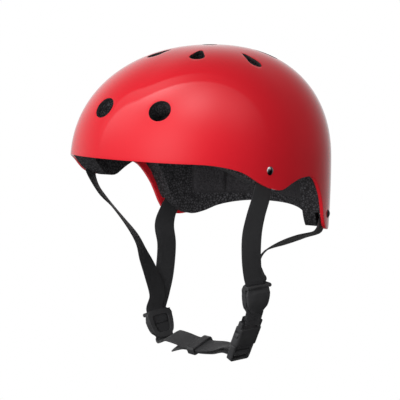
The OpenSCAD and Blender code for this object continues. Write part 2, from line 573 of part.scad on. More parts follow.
cheek = (buckle_w - web_w - 1.4) / 2;
body_top = -bar_d / 2 - slot_h;
mouth = body_top - socket_l;
cavity_w = buckle_w - 5.8;
cavity_t = buckle_t - 3.4;
window_top = body_top - 3.6;
window_foot = window_top - 6.5;
module buckle_socket() color(black) put(buckle) difference() {
    union() {
        intersection() {
            tube_z(body_top, mouth) polygon(rounded(buckle_w, buckle_t, 2.6));
            translate([-30, 38 + buckle_t / 2 - 42, 0]) translate([0, 0, mouth / 2]) rotate([0, 90, 0])
                cylinder(r = 42, h = 60, $fn = 120);
            translate([-30, -(38 + buckle_t / 2 - 42), 0]) translate([0, 0, mouth / 2]) rotate([0, 90, 0])
                cylinder(r = 42, h = 60, $fn = 120);
        }
        for (s = [-1, 1]) translate([s * (buckle_w - cheek) / 2, 0, 0])
            tube_z(bar_d / 2, body_top - 0.5) polygon(rounded(cheek, 5, 0.9));
        translate([-buckle_w / 2 + 0.6, 0, 0]) rotate([0, 90, 0])
            cylinder(d = bar_d, h = buckle_w - 1.2, $fn = 32);
    }
    tube_z(body_top - 3, mouth - 1) square([cavity_w, cavity_t], center = true);
    translate([-buckle_w, -cavity_t / 2 + 0.1, window_foot])
        cube([2 * buckle_w, cavity_t - 0.2, window_top - window_foot]);
}

plug_top = mouth - 0.3;
plug_t = 6.4;
// Bar across the plug, deep enough to hold the arms' roots
cross_h = 4.2;
plug_bar_z = plug_top - cross_h - slot_h - bar_d / 2;
plug_foot = plug_bar_z - bar_d / 2 - slot_h - 2.4;
arm_x = cavity_w / 2 - 1.9;
arm_z = plug_top - 1.5;
module buckle_plug() color(black) put(buckle) difference() {
    union() {
        intersection() {
            tube_z(plug_top, plug_foot) polygon(rounded(buckle_w - 0.6, plug_t, 2.2));
            translate([0, 20, (plug_top + plug_foot) / 2]) rotate([90, 0, 0])
                linear_extrude(40) polygon(trapezoid(buckle_w, buckle_w - 3, plug_top - plug_foot, 2.4));
        }
        tube_z(window_top - 1.4, plug_top - 1) polygon(rounded(3.8, 4, 0.8));
    }
    translate([-web_w / 2 - 0.7, -plug_t, plug_bar_z + bar_d / 2]) cube([web_w + 1.4, 2 * plug_t, slot_h]);
    translate([-web_w / 2 - 0.7, -plug_t, plug_bar_z - bar_d / 2 - slot_h])
        cube([web_w + 1.4, 2 * plug_t, slot_h]);
    difference() {
        translate([-web_w / 2 - 0.7, -plug_t, plug_bar_z - bar_d / 2 - 0.01])
            cube([web_w + 1.4, 2 * plug_t, bar_d + 0.02]);
        translate([-buckle_w / 2, 0, plug_bar_z]) rotate([0, 90, 0])
            cylinder(d = bar_d, h = buckle_w, $fn = 32);
    }
    for (s = [-1, 1]) translate([s * arm_x, plug_t, arm_z]) rotate([90, 0, 0])
        cylinder(d = 2.6, h = 2 * plug_t, $fn = 32);
    for (s = [-1, 1]) translate([s * arm_x - 2.2, -plug_t, arm_z]) cube([4.4, 2 * plug_t, 3]);
}

// Arm for the side of x that s names: root in the plug, head in the socket's window
arm_head = buckle_w / 2 + arm_reach;
module buckle_arm(s) color(black) put(buckle) plate(-2.2, 2.2) scale([s, 1]) {
    polygon([[arm_x - 0.9, arm_z], [arm_x - 0.9, window_foot], [arm_x - 1.2, window_top - 1.2],
        [arm_x - 0.2, window_top - 0.4], [arm_x + 2.6, window_top - 0.6], [arm_head - 0.6, window_top - 2],
        [arm_head, window_top - 3.6], [arm_head, window_foot + 0.8], [arm_head - 0.5, window_foot + 0.25],
        [arm_x + 0.9, window_foot + 0.25], [arm_x + 0.9, arm_z]]);
}
// Round root that the arm turns about
module arm_root(s) color(black) put(buckle) translate([s * arm_x, 2.2, arm_z]) rotate([90, 0, 0])
    cylinder(d = 2.4, h = 4.4, $fn = 32);
module buckle_arm_front() {
    buckle_arm(1);
    arm_root(1);
}
module buckle_arm_rear() {
    buckle_arm(-1);
    arm_root(-1);
}

// Chin strap: from the right divider, round the plug's bar and back through the keeper

// Direction between the two layers of the doubled stretch, and across it
layer_dir = unit([-0.115, -0.38, 0.91]);
pair_across = [0.3, 0.87, 0.4];
pair = web_t / 2 + 0.15;
keeper_from = [9, -17.2, -173.4];
keeper_to = [-15, -9, -174.2];
keeper_mid = mix(keeper_from, keeper_to, 0.45);
function layer(p, h, w) = concat(p + layer_dir * h, w);
// The strap leaves the plug's bar at this angle to the buckle's flat side
bar_lean = 20;
function by_bar(s, h) = turned(web_at(buckle, [0, -s * cos(bar_lean) - h * sin(bar_lean),
    plug_bar_z - s * sin(bar_lean) + h * cos(bar_lean)]));
chin_path = concat(
    [web_at(right_divider, [0, rear_layer, 0])],
    easy_path([web_at(right_divider, [0, rear_layer, -10]), [-72.6, 26.9, -184, 0.36, 0.92, 0.1],
        [-65.6, 19.7, -183.4, 0.42, 0.88, 0.18], [-57, 11.9, -178.8, 0.38, 0.86, 0.33],
        [-48.5, 5.6, -174.2, 0.33, 0.86, 0.4], [-31, -2.7, -173, 0.31, 0.87, 0.4],
        layer(keeper_to, pair, pair_across),
        layer(keeper_mid, pair, pair_across), layer(keeper_from, pair + 0.1, pair_across),
        layer([27, -22.2, -170.6], 1.5, [0.26, 0.91, 0.3]), by_bar(12, 2.2), by_bar(4, loop_r)], 4),
    [for (s = round_bar(buckle, plug_bar_z, 90 + bar_lean, bar_lean - 90, 8)) turned(s)],
    easy_path([by_bar(4, -loop_r), by_bar(12, -2.4), layer([27, -22.2, -170.6], -1.8, [0.26, 0.91, 0.3]),
        layer(keeper_from, -pair - 0.1, pair_across), layer(keeper_mid, -pair, pair_across),
        layer(keeper_to, -pair - 0.2, pair_across), [-25, -5.3, -178.2, 0.3, 0.88, 0.38],
        [-35.5, -1.2, -181.2, 0.3, 0.85, 0.45]], 4));
module chin_strap() color(web_black) webbing(chin_path);

keeper_frame = frame(keeper_mid, layer_dir, keeper_to - keeper_from);
module strap_keeper() color(black) put(keeper_frame) difference() {
    tube_z(keeper_l / 2, -keeper_l / 2)
        polygon(rounded(web_w + 1.4 + 2 * keeper_wall, 2 * web_t + 1.3 + 2 * keeper_wall, 2.2));
    tube_z(keeper_l, -keeper_l) polygon(rounded(web_w + 1.4, 2 * web_t + 1.3, 0.8));
}

outer_shell();
foam_liner();
brow_pad();
crown_pad();
side_pad_left();
side_pad_right();
nape_pad_left();
nape_pad_right();
pad_patches();
front_rivet_left();
front_rivet_right();
rear_rivet_left();
rear_rivet_right();
rivet_washers();
front_strap_left();
rear_strap_left();
front_strap_right();
rear_strap_right();
chin_strap();
divider_left();
divider_right();
divider_lock_left();
divider_lock_right();
buckle_socket();
buckle_plug();
buckle_arm_front();
buckle_arm_rear();
strap_keeper();
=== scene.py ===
"""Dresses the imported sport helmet: gloss shell, bead-foam liner, cloth pads, webbing harness and studio."""

from math import acos, asin, atan2, copysign, cos, degrees, hypot, pi, radians, sin

import bmesh
import bpy
from mathutils import Matrix, Vector


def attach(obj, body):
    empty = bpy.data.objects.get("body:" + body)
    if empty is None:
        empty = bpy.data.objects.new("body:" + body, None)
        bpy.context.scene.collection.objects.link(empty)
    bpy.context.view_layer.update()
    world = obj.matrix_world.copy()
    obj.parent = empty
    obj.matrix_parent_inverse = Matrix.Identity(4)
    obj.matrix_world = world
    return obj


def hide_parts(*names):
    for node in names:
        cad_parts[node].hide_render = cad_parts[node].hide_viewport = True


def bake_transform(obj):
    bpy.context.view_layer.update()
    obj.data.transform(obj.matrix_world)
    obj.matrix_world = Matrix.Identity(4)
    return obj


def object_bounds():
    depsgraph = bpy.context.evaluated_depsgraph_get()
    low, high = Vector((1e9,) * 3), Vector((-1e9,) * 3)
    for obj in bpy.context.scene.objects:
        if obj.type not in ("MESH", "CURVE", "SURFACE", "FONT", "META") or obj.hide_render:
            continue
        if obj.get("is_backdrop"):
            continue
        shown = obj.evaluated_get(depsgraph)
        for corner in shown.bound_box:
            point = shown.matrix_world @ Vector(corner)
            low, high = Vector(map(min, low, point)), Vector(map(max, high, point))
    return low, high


bl_info = {
    "name": "Sport Helmet",
    "version": (1, 0, 0),
    "blender": (4, 5, 0),
    "location": "View3D > Sidebar > Helmet",
    "description": "Models a vented hard-shell helmet with its pads, harness, buckle and studio",
    "category": "Object",
}

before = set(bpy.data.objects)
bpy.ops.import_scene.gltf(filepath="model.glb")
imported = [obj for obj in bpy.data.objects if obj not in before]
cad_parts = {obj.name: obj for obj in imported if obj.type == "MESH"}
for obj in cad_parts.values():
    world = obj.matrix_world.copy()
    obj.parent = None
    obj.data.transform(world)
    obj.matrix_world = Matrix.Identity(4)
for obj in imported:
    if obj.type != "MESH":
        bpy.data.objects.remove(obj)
MM = 0.001


def number(name, description, value, **limits):
    """A plain number."""
    return bpy.props.FloatProperty(name=name, description=description, default=value, **limits)


def length(name, description, millimetres):
    """A size in metres, given here in millimetres."""
    return number(name, description, millimetres * MM, min=0, unit="LENGTH")


def colour(name, description, value):
    """A base colour in linear light."""
    return bpy.props.FloatVectorProperty(
        name=name, description=description, default=value, size=3, min=0, max=1, subtype="COLOR"
    )


class HelmetShellSizes(bpy.types.PropertyGroup):
    """Sizes of the shell, the liner and the vents."""

    width: length("Width", "Width at the widest level", 210)
    brow_reach: length("Brow reach", "From the head's axis to the brow", 138.5)
    nape_reach: length("Nape reach", "From the head's axis to the nape", 129.5)
    crown: length("Crown", "Height of the crown above the widest level", 110)
    wall: length("Wall", "Thickness of the moulded wall", 3)
    tuck: length("Tuck", "How far the skirt's foot draws in", 2.4)
    liner: length("Liner", "Thickness of the foam liner", 18)
    recess: length("Recess", "How far the liner's edge stays inside the shell's over the ears", 5)
    liner_gap: length("Liner gap", "Gap between the shell and the liner", 0.7)
    pad_gap: length("Pad gap", "Gap between the liner and the pads", 0.8)
    seat: length("Seat", "Gap between other pieces that lie against each other", 0.3)
    round_vent: length("Round vent", "Diameter of the brow and nape vents", 20.5)
    crown_vent: length("Crown vent", "Diameter of the vent at the crown", 14.5)
    drop_length: length("Drop length", "Length of a teardrop vent", 25)
    drop_broad: length("Drop broad end", "Radius of a teardrop's broad end", 7.1)
    drop_tip: length("Drop tip", "Radius of a teardrop's narrow end", 2.2)
    plan_squareness: number("Plan squareness", "2 is an ellipse", 2.39, min=2, max=3)
    dome_squareness: number("Dome squareness", "2 is an ellipse", 2.2, min=2, max=3)
    flare: number("Flare", "How much wider the brow is than the nape", 0.08, min=0, max=0.2)


class HelmetHarnessSizes(bpy.types.PropertyGroup):
    """Sizes of the webbing, the pads and the small fittings."""

    webbing_width: length("Webbing width", "Width of the webbing", 20)
    webbing_thick: length("Webbing thickness", "Thickness of the webbing", 1.4)
    bar: length("Bar", "Diameter of the bars that the webbing goes round", 3.4)
    slot: length("Slot", "Height of the slots beside the bars", 3.4)
    socket: length("Socket", "Length of the socket's closed body", 18)
    pad: length("Pad", "Thickness of a comfort pad at its crown", 8)
    crown_pad: length("Crown pad", "Thickness of the crown pad", 7)
    pad_height: length("Pad height", "Height of the brow and side pads", 34)
    piping: length("Piping", "Radius of the piping round a pad", 0.55)
    stitch: length("Stitch", "Length of one stitch", 2.1)


class HelmetColours(bpy.types.PropertyGroup):
    """Colours of the finishes."""

    shell: colour("Shell", "Gloss red of the shell", (0.76, 0.018, 0.03))
    foam: colour("Foam", "Dark bead foam", (0.038, 0.037, 0.04))
    cloth: colour("Cloth", "Cloth of the pads", (0.037, 0.035, 0.038))
    webbing: colour("Webbing", "Woven straps", (0.03, 0.03, 0.032))
    plastic: colour("Plastic", "Moulded fittings", (0.042, 0.042, 0.044))
    thread: colour("Thread", "Sewing thread", (0.03, 0.03, 0.034))
    floor: colour("Floor", "Pale studio floor, shown white to the camera", (0.4, 0.4, 0.4))


class HelmetStudio(bpy.types.PropertyGroup):
    """The camera and the room."""

    azimuth: number("Azimuth", "Camera's turn from the front", radians(35.02), subtype="ANGLE")
    elevation: number("Elevation", "Camera's height angle", radians(6.687), subtype="ANGLE")
    distance: length("Distance", "Camera's distance from the frame's origin", 1504.5)
    lens: number("Lens", "Focal length in mm", 143.96, min=10)
    shift_x: number("Shift X", "Sideways shift", -0.0241)
    shift_y: number("Shift Y", "Upward shift", -0.096)
    floor_drop: length("Floor drop", "Floor below the lowest piece", 60)


def sizes():
    """The shell's sizes."""
    return bpy.context.scene.helmet_shell


def harness():
    """The harness's sizes."""
    return bpy.context.scene.helmet_harness


def colours():
    """The colours."""
    return bpy.context.scene.helmet_colours


# Shape of the head-shaped surfaces, in millimetres and degrees

TEMPLE_DROP = 14.6
EAR_DROP = 7
NAPE_DROP = 65
BACK_DROP = 50.5
BROW_RISE = 14.5
WALL_STEP = 1.6
VENT_FLARE = 0.8
VENT_HALF_GAP = 30.5
BROW_VENT_Y = 119
NAPE_VENT_Y = 110
DROP_RING = 41
DROP_AZIMUTHS = (24, 79, 137)
# Azimuths from the brow, with the height of the shell's edge there
RIM_KEYS = (
    (0, BROW_RISE), (26, BROW_RISE - 0.8), (42, BROW_RISE - 2.8),
    (56, (BROW_RISE - TEMPLE_DROP) / 2 + 4.8), (68, -TEMPLE_DROP + 5.6), (77, -TEMPLE_DROP),
    (84, -(TEMPLE_DROP + EAR_DROP) / 2 + 1), (90, -EAR_DROP), (96.5, -EAR_DROP - 4),
    (103.7, -NAPE_DROP / 2 + 1), (109.2, -NAPE_DROP + 8.5), (118, -NAPE_DROP),
    (130, -NAPE_DROP + 3), (141, -(NAPE_DROP + BACK_DROP) / 2 + 1.5), (158, -BACK_DROP - 1.8),
    (180, -BACK_DROP),
)
# Azimuths from the brow, with how much higher the liner's edge is, as a share of the recess
RECESS_KEYS = (
    (0, 0.6), (40, 0.2), (55, -0.6), (66, -0.4), (77, 0), (84, 0.3), (90, 0.8), (98, 1.7),
    (106, 2.1), (112, 1.5), (120, 0.4), (130, 0), (180, 0),
)


def mix(a, b, t):
    """Value between a and b."""
    return a + (b - a) * t


def signed_power(v, e):
    """Power that keeps the sign."""
    return copysign(abs(v) ** e, v)


def through(keys, a):
    """Smooth value at an azimuth, the same on both sides, through keys and flat at both ends."""
    x = 360 - a if a > 180 else a
    i = 0
    while i < len(keys) - 2 and x > keys[i + 1][0]:
        i += 1

    def slope(k):
        if k in (0, len(keys) - 1):
            return 0
        return (keys[k + 1][1] - keys[k - 1][1]) / (keys[k + 1][0] - keys[k - 1][0])

    h = keys[i + 1][0] - keys[i][0]
    t = (x - keys[i][0]) / h
    return (
        (2 * t**3 - 3 * t**2 + 1) * keys[i][1]
        + (t**3 - 2 * t**2 + t) * h * slope(i)
        + (3 * t**2 - 2 * t**3) * keys[i + 1][1]
        + (t**3 - t**2) * h * slope(i + 1)
    )


def rim_height(a):
    """Height of the shell's edge at an azimuth."""
    return through(RIM_KEYS, a)


def liner_rim_height(a):
    """Height of the liner's edge: below the shell's at the temples, level at the nape, above it between."""
    return rim_height(a) + sizes().recess / MM * through(RECESS_KEYS, a)


class Dome:
    """The head-shaped surface that lies an inset inside the shell's outer face."""

    def __init__(self, inset):
        s = sizes()
        self.half = s.width / MM / 2 - inset
        self.brow = s.brow_reach / MM - inset
        self.nape = s.nape_reach / MM - inset
        self.top = s.crown / MM - inset
        self.full_nape = s.nape_reach / MM
        self.tuck = s.tuck / s.nape_reach
        self.plan = s.plan_squareness
        self.dome = s.dome_squareness
        self.flare = s.flare

    def angle(self, z):
        """Profile angle at a height."""
        if z < 0:
            return z / WALL_STEP
        return degrees(asin(min(1, z / self.top) ** (self.dome / 2)))

    def point(self, a, u):
        """Point at azimuth a from the brow and profile angle u."""
        c = sin(radians(a))
        s = -cos(radians(a))
        if u < 0:
            r = 1 - self.tuck * (u * WALL_STEP / NAPE_DROP) ** 2
            z = u * WALL_STEP
        else:
            r = max(0, cos(radians(u))) ** (2 / self.dome)
            z = self.top * sin(radians(u)) ** (2 / self.dome)
        y = r * (self.brow if s < 0 else self.nape) * signed_power(s, 2 / self.plan)
        x = r * self.half * signed_power(c, 2 / self.plan) * (1 - self.flare * y / self.full_nape)
        return Vector((x, y, z))

    def point_at(self, a, z):
        """Point at an azimuth and a height."""
        return self.point(a, self.angle(z))

    def wall_out(self, a, z):
        """Outward direction of the skirt."""
        p = self.point_at(a + 1, z) - self.point_at(a - 1, z)
        q = self.point_at(a, z + 1) - self.point_at(a, z - 1)
        return p.cross(q).normalized()

    def spread(self, x, y):
        """How far out a plan point is, as a power: 1 on the widest outline."""
        reach = self.brow if y < 0 else self.nape
        half = self.half * (1 - self.flare * y / self.full_nape)
        return (abs(x) / half) ** self.plan + (abs(y) / reach) ** self.plan

    def height(self, x, y):
        """Height of the dome over a plan point."""
        q = self.spread(x, y) ** (1 / self.plan)
        return self.top * max(0, 1 - q**self.dome) ** (1 / self.dome)

    def out(self, x, y):
        """Outward direction of the dome over a plan point."""
        e = 0.5
        return Vector((
            (self.height(x - e, y) - self.height(x + e, y)) / (2 * e),
            (self.height(x, y - e) - self.height(x, y + e)) / (2 * e),
            1,
        )).normalized()

    def level(self, p):
        """Below zero inside the surface, zero on it."""
        return self.spread(p.x, p.y) ** (self.dome / self.plan) + (max(0, p.z) / self.top) ** self.dome - 1

    def settled(self, p, along):
        """p moved along a direction until it lies on the surface."""
        e = 0.05
        for _ in range(6):
            here = self.level(p)
            rate = (self.level(p + along * e) - here) / e
            if abs(rate) < 1e-7:
                break
            p = p - along * max(-4, min(4, here / rate))
        return p


# Small helpers for the modelling operators


def start_fresh():
    """Leaves edit mode and selects nothing."""
    if bpy.context.object and bpy.context.object.mode != "OBJECT":
        bpy.ops.object.mode_set(mode="OBJECT")
    bpy.ops.object.select_all(action="DESELECT")


def pick(obj):
    """Makes obj the only selected and the active object."""
    start_fresh()
    obj.select_set(True)
    bpy.context.view_layer.objects.active = obj


def named(name):
    """The new primitive, under its own name."""
    obj = bpy.context.object
    obj.name = name
    obj.data.name = name
    return obj


def placed(name, data):
    """A new object in the scene, of a mesh, curve, lamp or camera."""
    obj = bpy.data.objects.new(name, data)
    bpy.context.scene.collection.objects.link(obj)
    return obj


def place_of(origin, x_way, y_way, z_way):
    """Matrix of a place with its three directions."""
    place = Matrix((x_way, y_way, z_way)).transposed().to_4x4()
    place.translation = origin
    return place


def finish_with(obj, kind, **settings):
    """Adds a modifier and applies it."""
    pick(obj)
    modifier = obj.modifiers.new(kind.title(), kind)
    for key, value in settings.items():
        setattr(modifier, key, value)
    bpy.ops.object.modifier_apply(modifier=modifier.name)


def round_edges(obj, width, segments, angle):
    """Rounds the edges that turn by more than an angle."""
    finish_with(obj, "BEVEL", width=width * MM, segments=segments, limit_method="ANGLE",
                angle_limit=radians(angle), use_clamp_overlap=True)


def smooth(obj, angle=40):
    """Smooth shading with sharp edges kept."""
    pick(obj)
    bpy.ops.object.shade_smooth_by_angle(angle=radians(angle))


def in_edit(obj, *steps):
    """Runs edit-mode steps on all of obj."""
    pick(obj)
    bpy.ops.object.mode_set(mode="EDIT")
    bpy.ops.mesh.select_all(action="SELECT")
    for step in steps:
        step()
    bpy.ops.object.mode_set(mode="OBJECT")


def grid(name, columns, rows, slab=False):
    """Grid one unit wide and long, or a slab of it one unit thick."""
    start_fresh()
    bpy.ops.mesh.primitive_grid_add(x_subdivisions=columns, y_subdivisions=rows, size=1)
    obj = named(name)
    if slab:
        in_edit(obj, lambda: bpy.ops.mesh.extrude_region_move(TRANSFORM_OT_translate={"value": (0, 0, 1)}))
    return obj


def weld(distance=0.02):
    """Merges points closer than a distance in millimetres."""
    bpy.ops.mesh.remove_doubles(threshold=distance * MM)


def face_out():
    """Turns all faces outward."""
    bpy.ops.mesh.normals_make_consistent(inside=False)


def dress(obj, finish, body, *nodes, slot=None):
    """Gives a piece its finish, its body if it has just one, and the nodes it stands for; slot is not used.
    """
    obj.data.materials.clear()
    obj.data.materials.append(finish)
    if body:
        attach(obj, body)
    if nodes:
        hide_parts(*nodes)
    return obj


# Finishes


class Nodes:
    """A node tree, with the few kinds of node that the finishes and the room use."""

    def __init__(self, tree):
        self.tree = tree

    def put(self, socket, value):
        """Sets an input to a value, or links another node's output to it."""
        if isinstance(value, bpy.types.NodeSocket):
            self.tree.links.new(value, socket)
        else:
            socket.default_value = value

    def feed(self, node, **inputs):
        """Fills inputs by name, with underscores for spaces."""
        for name, value in inputs.items():
            self.put(node.inputs[name.replace("_", " ")], value)
        return node

    def node(self, kind, **inputs):
        """A new node with its inputs filled."""
        return self.feed(self.tree.nodes.new("ShaderNode" + kind), **inputs)

    def work(self, kind, operation, *values):
        """Outputs of an arithmetic node."""
        node = self.node(kind)
        node.operation = operation
        for socket, value in zip(node.inputs, values):
            self.put(socket, value)
        return node.outputs

    def math(self, operation, *values):
        """Arithmetic on numbers."""
        return self.work("Math", operation, *values)["Value"]

    def add(self, a, b):
        """Sum."""
        return self.math("ADD", a, b)

    def times(self, a, b):
        """Product."""
        return self.math("MULTIPLY", a, b)

    def coordinates(self, kind):
        """One of the kinds of texture coordinates."""
        return self.node("TexCoord").outputs[kind]

    def blended(self, share, first, second):
        """One shader mixed with another."""
        node = self.node("MixShader", Fac=share)
        self.put(node.inputs[1], first)
        self.put(node.inputs[2], second)
        return node.outputs["Shader"]


class Paint(Nodes):
    """A material of one colour, whose main shader takes patterns while the material is fresh."""

    def __init__(self, name, base, roughness, metallic=0.0):
        self.base = base
        self.relief = {}
        self.material = bpy.data.materials.get(name)
        self.fresh = self.material is None
        if self.fresh:
            self.material = bpy.data.materials.new(name)
            self.material.use_nodes = True
            super().__init__(self.material.node_tree)
            self.shader = self.tree.nodes["Principled BSDF"]
            self.where = self.coordinates("Object")
            self.set(Base_Color=(*base, 1), Roughness=roughness, Metallic=metallic)

    def set(self, **inputs):
        """Fills the main shader's inputs."""
        self.feed(self.shader, **inputs)

    def noise(self, scale, detail=3.0):
        """Noise value; scale is in cycles a metre."""
        return self.node("TexNoise", Vector=self.where, Scale=scale, Detail=detail).outputs["Fac"]

    def tones(self, value, dark, light, at=(0.35, 0.65)):
        """The base colour made darker or lighter by a value."""
        node = self.node("ValToRGB", Fac=value)
        for element, position, k in zip(node.color_ramp.elements, at, (dark, light)):
            element.position = position
            element.color = (*(min(1, v * k) for v in self.base), 1)
        return node.outputs["Color"]

    def spread(self, value, low, high):
        """Value from 0 to 1 mapped between low and high."""
        return self.node("MapRange", Value=value, To_Min=low, To_Max=high).outputs["Result"]

    def bump(self, height, distance, strength):
        """Relief of a depth in millimetres, over any relief that is there."""
        node = self.node("Bump", Height=height, Distance=distance * MM, Strength=strength, **self.relief)
        self.relief = {"Normal": node.outputs["Normal"]}
        self.set(**self.relief)


def gloss_red():
    """Moulded gloss plastic with a faint ripple and a slightly uneven polish."""
    p = Paint("gloss_red", colours().shell, 0.2)
    if p.fresh:
        p.set(Base_Color=p.tones(p.noise(9), 0.96, 1.03), Specular_IOR_Level=0.0,
              Coat_Weight=1.0, Coat_Roughness=p.spread(p.noise(70, 5), 0.03, 0.07))
        p.bump(p.noise(240, 2), 0.02, 0.25)
    return p.material


def bead_foam():
    """Moulded bead foam: close cells with fine pits."""
    p = Paint("bead_foam", colours().foam, 0.82)
    if p.fresh:
        cells = p.node("TexVoronoi", Vector=p.where, Scale=380)
        cells.feature = "DISTANCE_TO_EDGE"
        edge = p.math("MINIMUM", p.times(cells.outputs["Distance"], 4.0), 1.0)
        grain = p.noise(620)
        tone = p.times(p.add(p.times(grain, 1.4), edge), 0.5)
        p.set(Specular_IOR_Level=0.3, Base_Color=p.tones(tone, 0.4, 2.4, (0.4, 0.95)))
        p.bump(edge, 0.35, 0.7)
        p.bump(grain, 0.2, 0.5)
    return p.material


def pad_cloth():
    """Brushed knit cloth with a soft sheen."""
    p = Paint("knit_cloth", colours().cloth, 0.9)
    if p.fresh:
        knit = p.node("TexWave", Vector=p.where, Scale=260, Distortion=3.0, Detail=2.0)
        fuzz = p.noise(700, 4)
        p.set(Specular_IOR_Level=0.1, Sheen_Weight=0.03, Sheen_Roughness=0.5,
              Base_Color=p.tones(fuzz, 0.75, 1.6))
        p.bump(knit.outputs["Fac"], 0.12, 0.5)
        p.bump(fuzz, 0.15, 0.5)
    return p.material


WARP_ROWS = 11
RIB_PITCH = 1.1


def woven_webbing():
    """Polyester webbing: ribs across and warp rows along, by the strap's own UV."""
    p = Paint("woven_webbing", colours().webbing, 0.62)
    if p.fresh:
        uv = p.node("SeparateXYZ", Vector=p.coordinates("UV"))
        across = p.math("SINE", p.times(uv.outputs["X"], 2 * pi * WARP_ROWS))
        along = p.math("SINE", p.times(uv.outputs["Y"], 2 * pi / RIB_PITCH))
        weave = p.add(p.times(p.times(across, along), 0.5), 0.5)
        rib = p.add(weave, p.times(p.math("ABSOLUTE", across), 0.6))
        p.set(Sheen_Weight=0.08, Sheen_Roughness=0.4, Base_Color=p.tones(weave, 0.75, 1.7, (0.1, 0.9)))
        p.bump(rib, 0.16, 0.8)
    return p.material


def vent_wall_painted_shade():
    """Painted shade: a near-black finish on the vents' walls, where the shell's red walls fall in shadow."""
    p = Paint("vent_wall_painted_shade", colours().foam, 0.7)
    if p.fresh:
        p.set(Base_Color=p.tones(p.noise(500), 0.4, 0.9))
    return p.material


def moulded_plastic():
    """Satin moulded plastic with a fine spark-eroded grain."""
    p = Paint("moulded_plastic", colours().plastic, 0.3)
    if p.fresh:
        p.set(Roughness=p.spread(p.noise(120, 4), 0.27, 0.4), Base_Color=p.tones(p.noise(60), 0.85, 1.25))
        p.bump(p.noise(1500, 2), 0.03, 0.5)
    return p.material


def metal(name, base, roughness, streak):
    """Polished or brushed metal with faint wear."""
    p = Paint(name, base, roughness, 1.0)
    if p.fresh:
        worn = p.noise(streak, 4)
        p.set(Roughness=p.spread(worn, roughness * 0.8, roughness * 1.4))
        p.bump(worn, 0.01, 0.3)
    return p.material


def black_enamel():
    """Black paint over a metal rivet."""
    p = Paint("black_enamel", colours().plastic, 0.3)
    if p.fresh:
        p.set(Coat_Weight=0.4, Roughness=p.spread(p.noise(400, 4), 0.24, 0.4))
        p.bump(p.noise(900, 2), 0.02, 0.3)
    return p.material


def sewing_thread():
    """Twisted thread."""
    p = Paint("sewing_thread", colours().thread, 0.6)
    if p.fresh:
        twist = p.noise(2500, 2)
        p.set(Base_Color=p.tones(twist, 0.7, 1.4))
        p.bump(twist, 0.05, 0.5)
    return p.material


# Shell and liner

# Cells round and up each sheet, and how far its wall's edges are rounded
SHELL_CELLS = (208, 60)
SHELL_ROUNDING = 0.9
LINER_CELLS = (160, 44)
LINER_ROUNDING = 2.6
# How a vent is cut: the reach of the cut, and how far round it the mesh is moved and eased
CUT_DEPTH = 34
CUT_MARGIN = 9
CUT_PULL = 5
CUT_MERGE = 0.3
CUT_EASED = 7
CUT_ROUNDS = 4
# Faces of the vents' walls that take the painted shade: their least height, their turn from the surface and
# their depth in it
PAINTED_SHADE_ABOVE = 25
PAINTED_SHADE_TURN = 0.4
PAINTED_SHADE_SUNK = -0.018


def head_sheet(name, dome, low, around, rings):
    """Open sheet over the head from a lower edge to the crown."""
    obj = grid(name, around, rings)
    for v in obj.data.vertices:
        a = (v.co.x + 0.5) * 360
        v.co = dome.point(a, mix(dome.angle(low(a)), 90, v.co.y + 0.5)) * MM
    in_edit(obj, weld)
    face = obj.data.polygons[len(obj.data.polygons) // 2]
    if face.normal.dot(face.center) < 0:
        in_edit(obj, bpy.ops.mesh.flip_normals)
    return obj


def circle_outline(radius, count=72):
    """Points round a circle."""
    turns = [2 * pi * i / count for i in range(count)]
    return [(radius * cos(t), radius * sin(t)) for t in turns]


def drop_outline(reach, broad, tip):
    """Rounded teardrop along X, its broad end round the origin."""
    d = reach - broad - tip
    a = degrees(acos((broad - tip) / d))
    big = [radians(mix(a, 360 - a, i / 40)) for i in range(41)]
    small = [radians(mix(-a, a, i / 14)) for i in range(15)]
    outline = [(broad * cos(t), broad * sin(t)) for t in big]
    return outline + [(d + tip * cos(t), tip * sin(t)) for t in small]


def beside(outline, x, y):
    """Closest point of an outline, its distance, and whether the point lies inside."""
    closest, least = None, None
    odd = False
    for i, (ax, ay) in enumerate(outline):
        bx, by = outline[i - 1]
        dx, dy = bx - ax, by - ay
        if (ay > y) != (by > y) and x < dx * (y - ay) / dy + ax:
            odd = not odd
        t = max(0, min(1, ((x - ax) * dx + (y - ay) * dy) / max(1e-9, dx * dx + dy * dy)))
        q = (ax + dx * t, ay + dy * t)
        gap = hypot(q[0] - x, q[1] - y)
        if least is None or gap < least:
            closest, least = q, gap
    return closest, least, odd


def punch(obj, dome, spot, aim, outline):
    """Opens a hole in a sheet, with its edge points moved on to the outline and the mesh round it eased."""
    out = Dome(0).out(*spot)
    along = (aim - out * aim.dot(out)).normalized()
    place = place_of(Vector((*spot, Dome(0).height(*spot))), along, out.cross(along), out)
    back = place.inverted()
    reach = max(hypot(*q) for q in outline) + CUT_MARGIN
    bm = bmesh.new()
    bm.from_mesh(obj.data)

    def local(co):
        return back @ (co / MM)

    def close(co):
        p = local(co)
        return abs(p.z) < CUT_DEPTH and hypot(p.x, p.y) < reach

    middles = [(f, f.calc_center_median()) for f in bm.faces]
    cut = [f for f, c in middles if close(c) and beside(outline, *local(c).xy)[2]]
    bmesh.ops.delete(bm, geom=cut, context="FACES")
    edge = []
    for v in bm.verts:
        if v.is_boundary and close(v.co):
            p = local(v.co)
            q, gap, _ = beside(outline, p.x, p.y)
            if gap < CUT_PULL:
                v.co = dome.settled(place @ Vector((*q, p.z)), out) * MM
                edge.append(v)
    bmesh.ops.remove_doubles(bm, verts=edge, dist=CUT_MERGE * MM)
    ring = [v for v in bm.verts if not v.is_boundary and close(v.co)
            and beside(outline, *local(v.co).xy)[1] < CUT_EASED]
    for _ in range(CUT_ROUNDS):
        moved = {}
        for v in ring:
            mean = sum((e.other_vert(v).co for e in v.link_edges), Vector()) / len(v.link_edges)
            moved[v] = dome.settled((v.co * 0.5 + mean * 0.5) / MM, dome_normal(dome, v.co / MM)) * MM
        for v, co in moved.items():
            v.co = co
    bm.to_mesh(obj.data)
    bm.free()


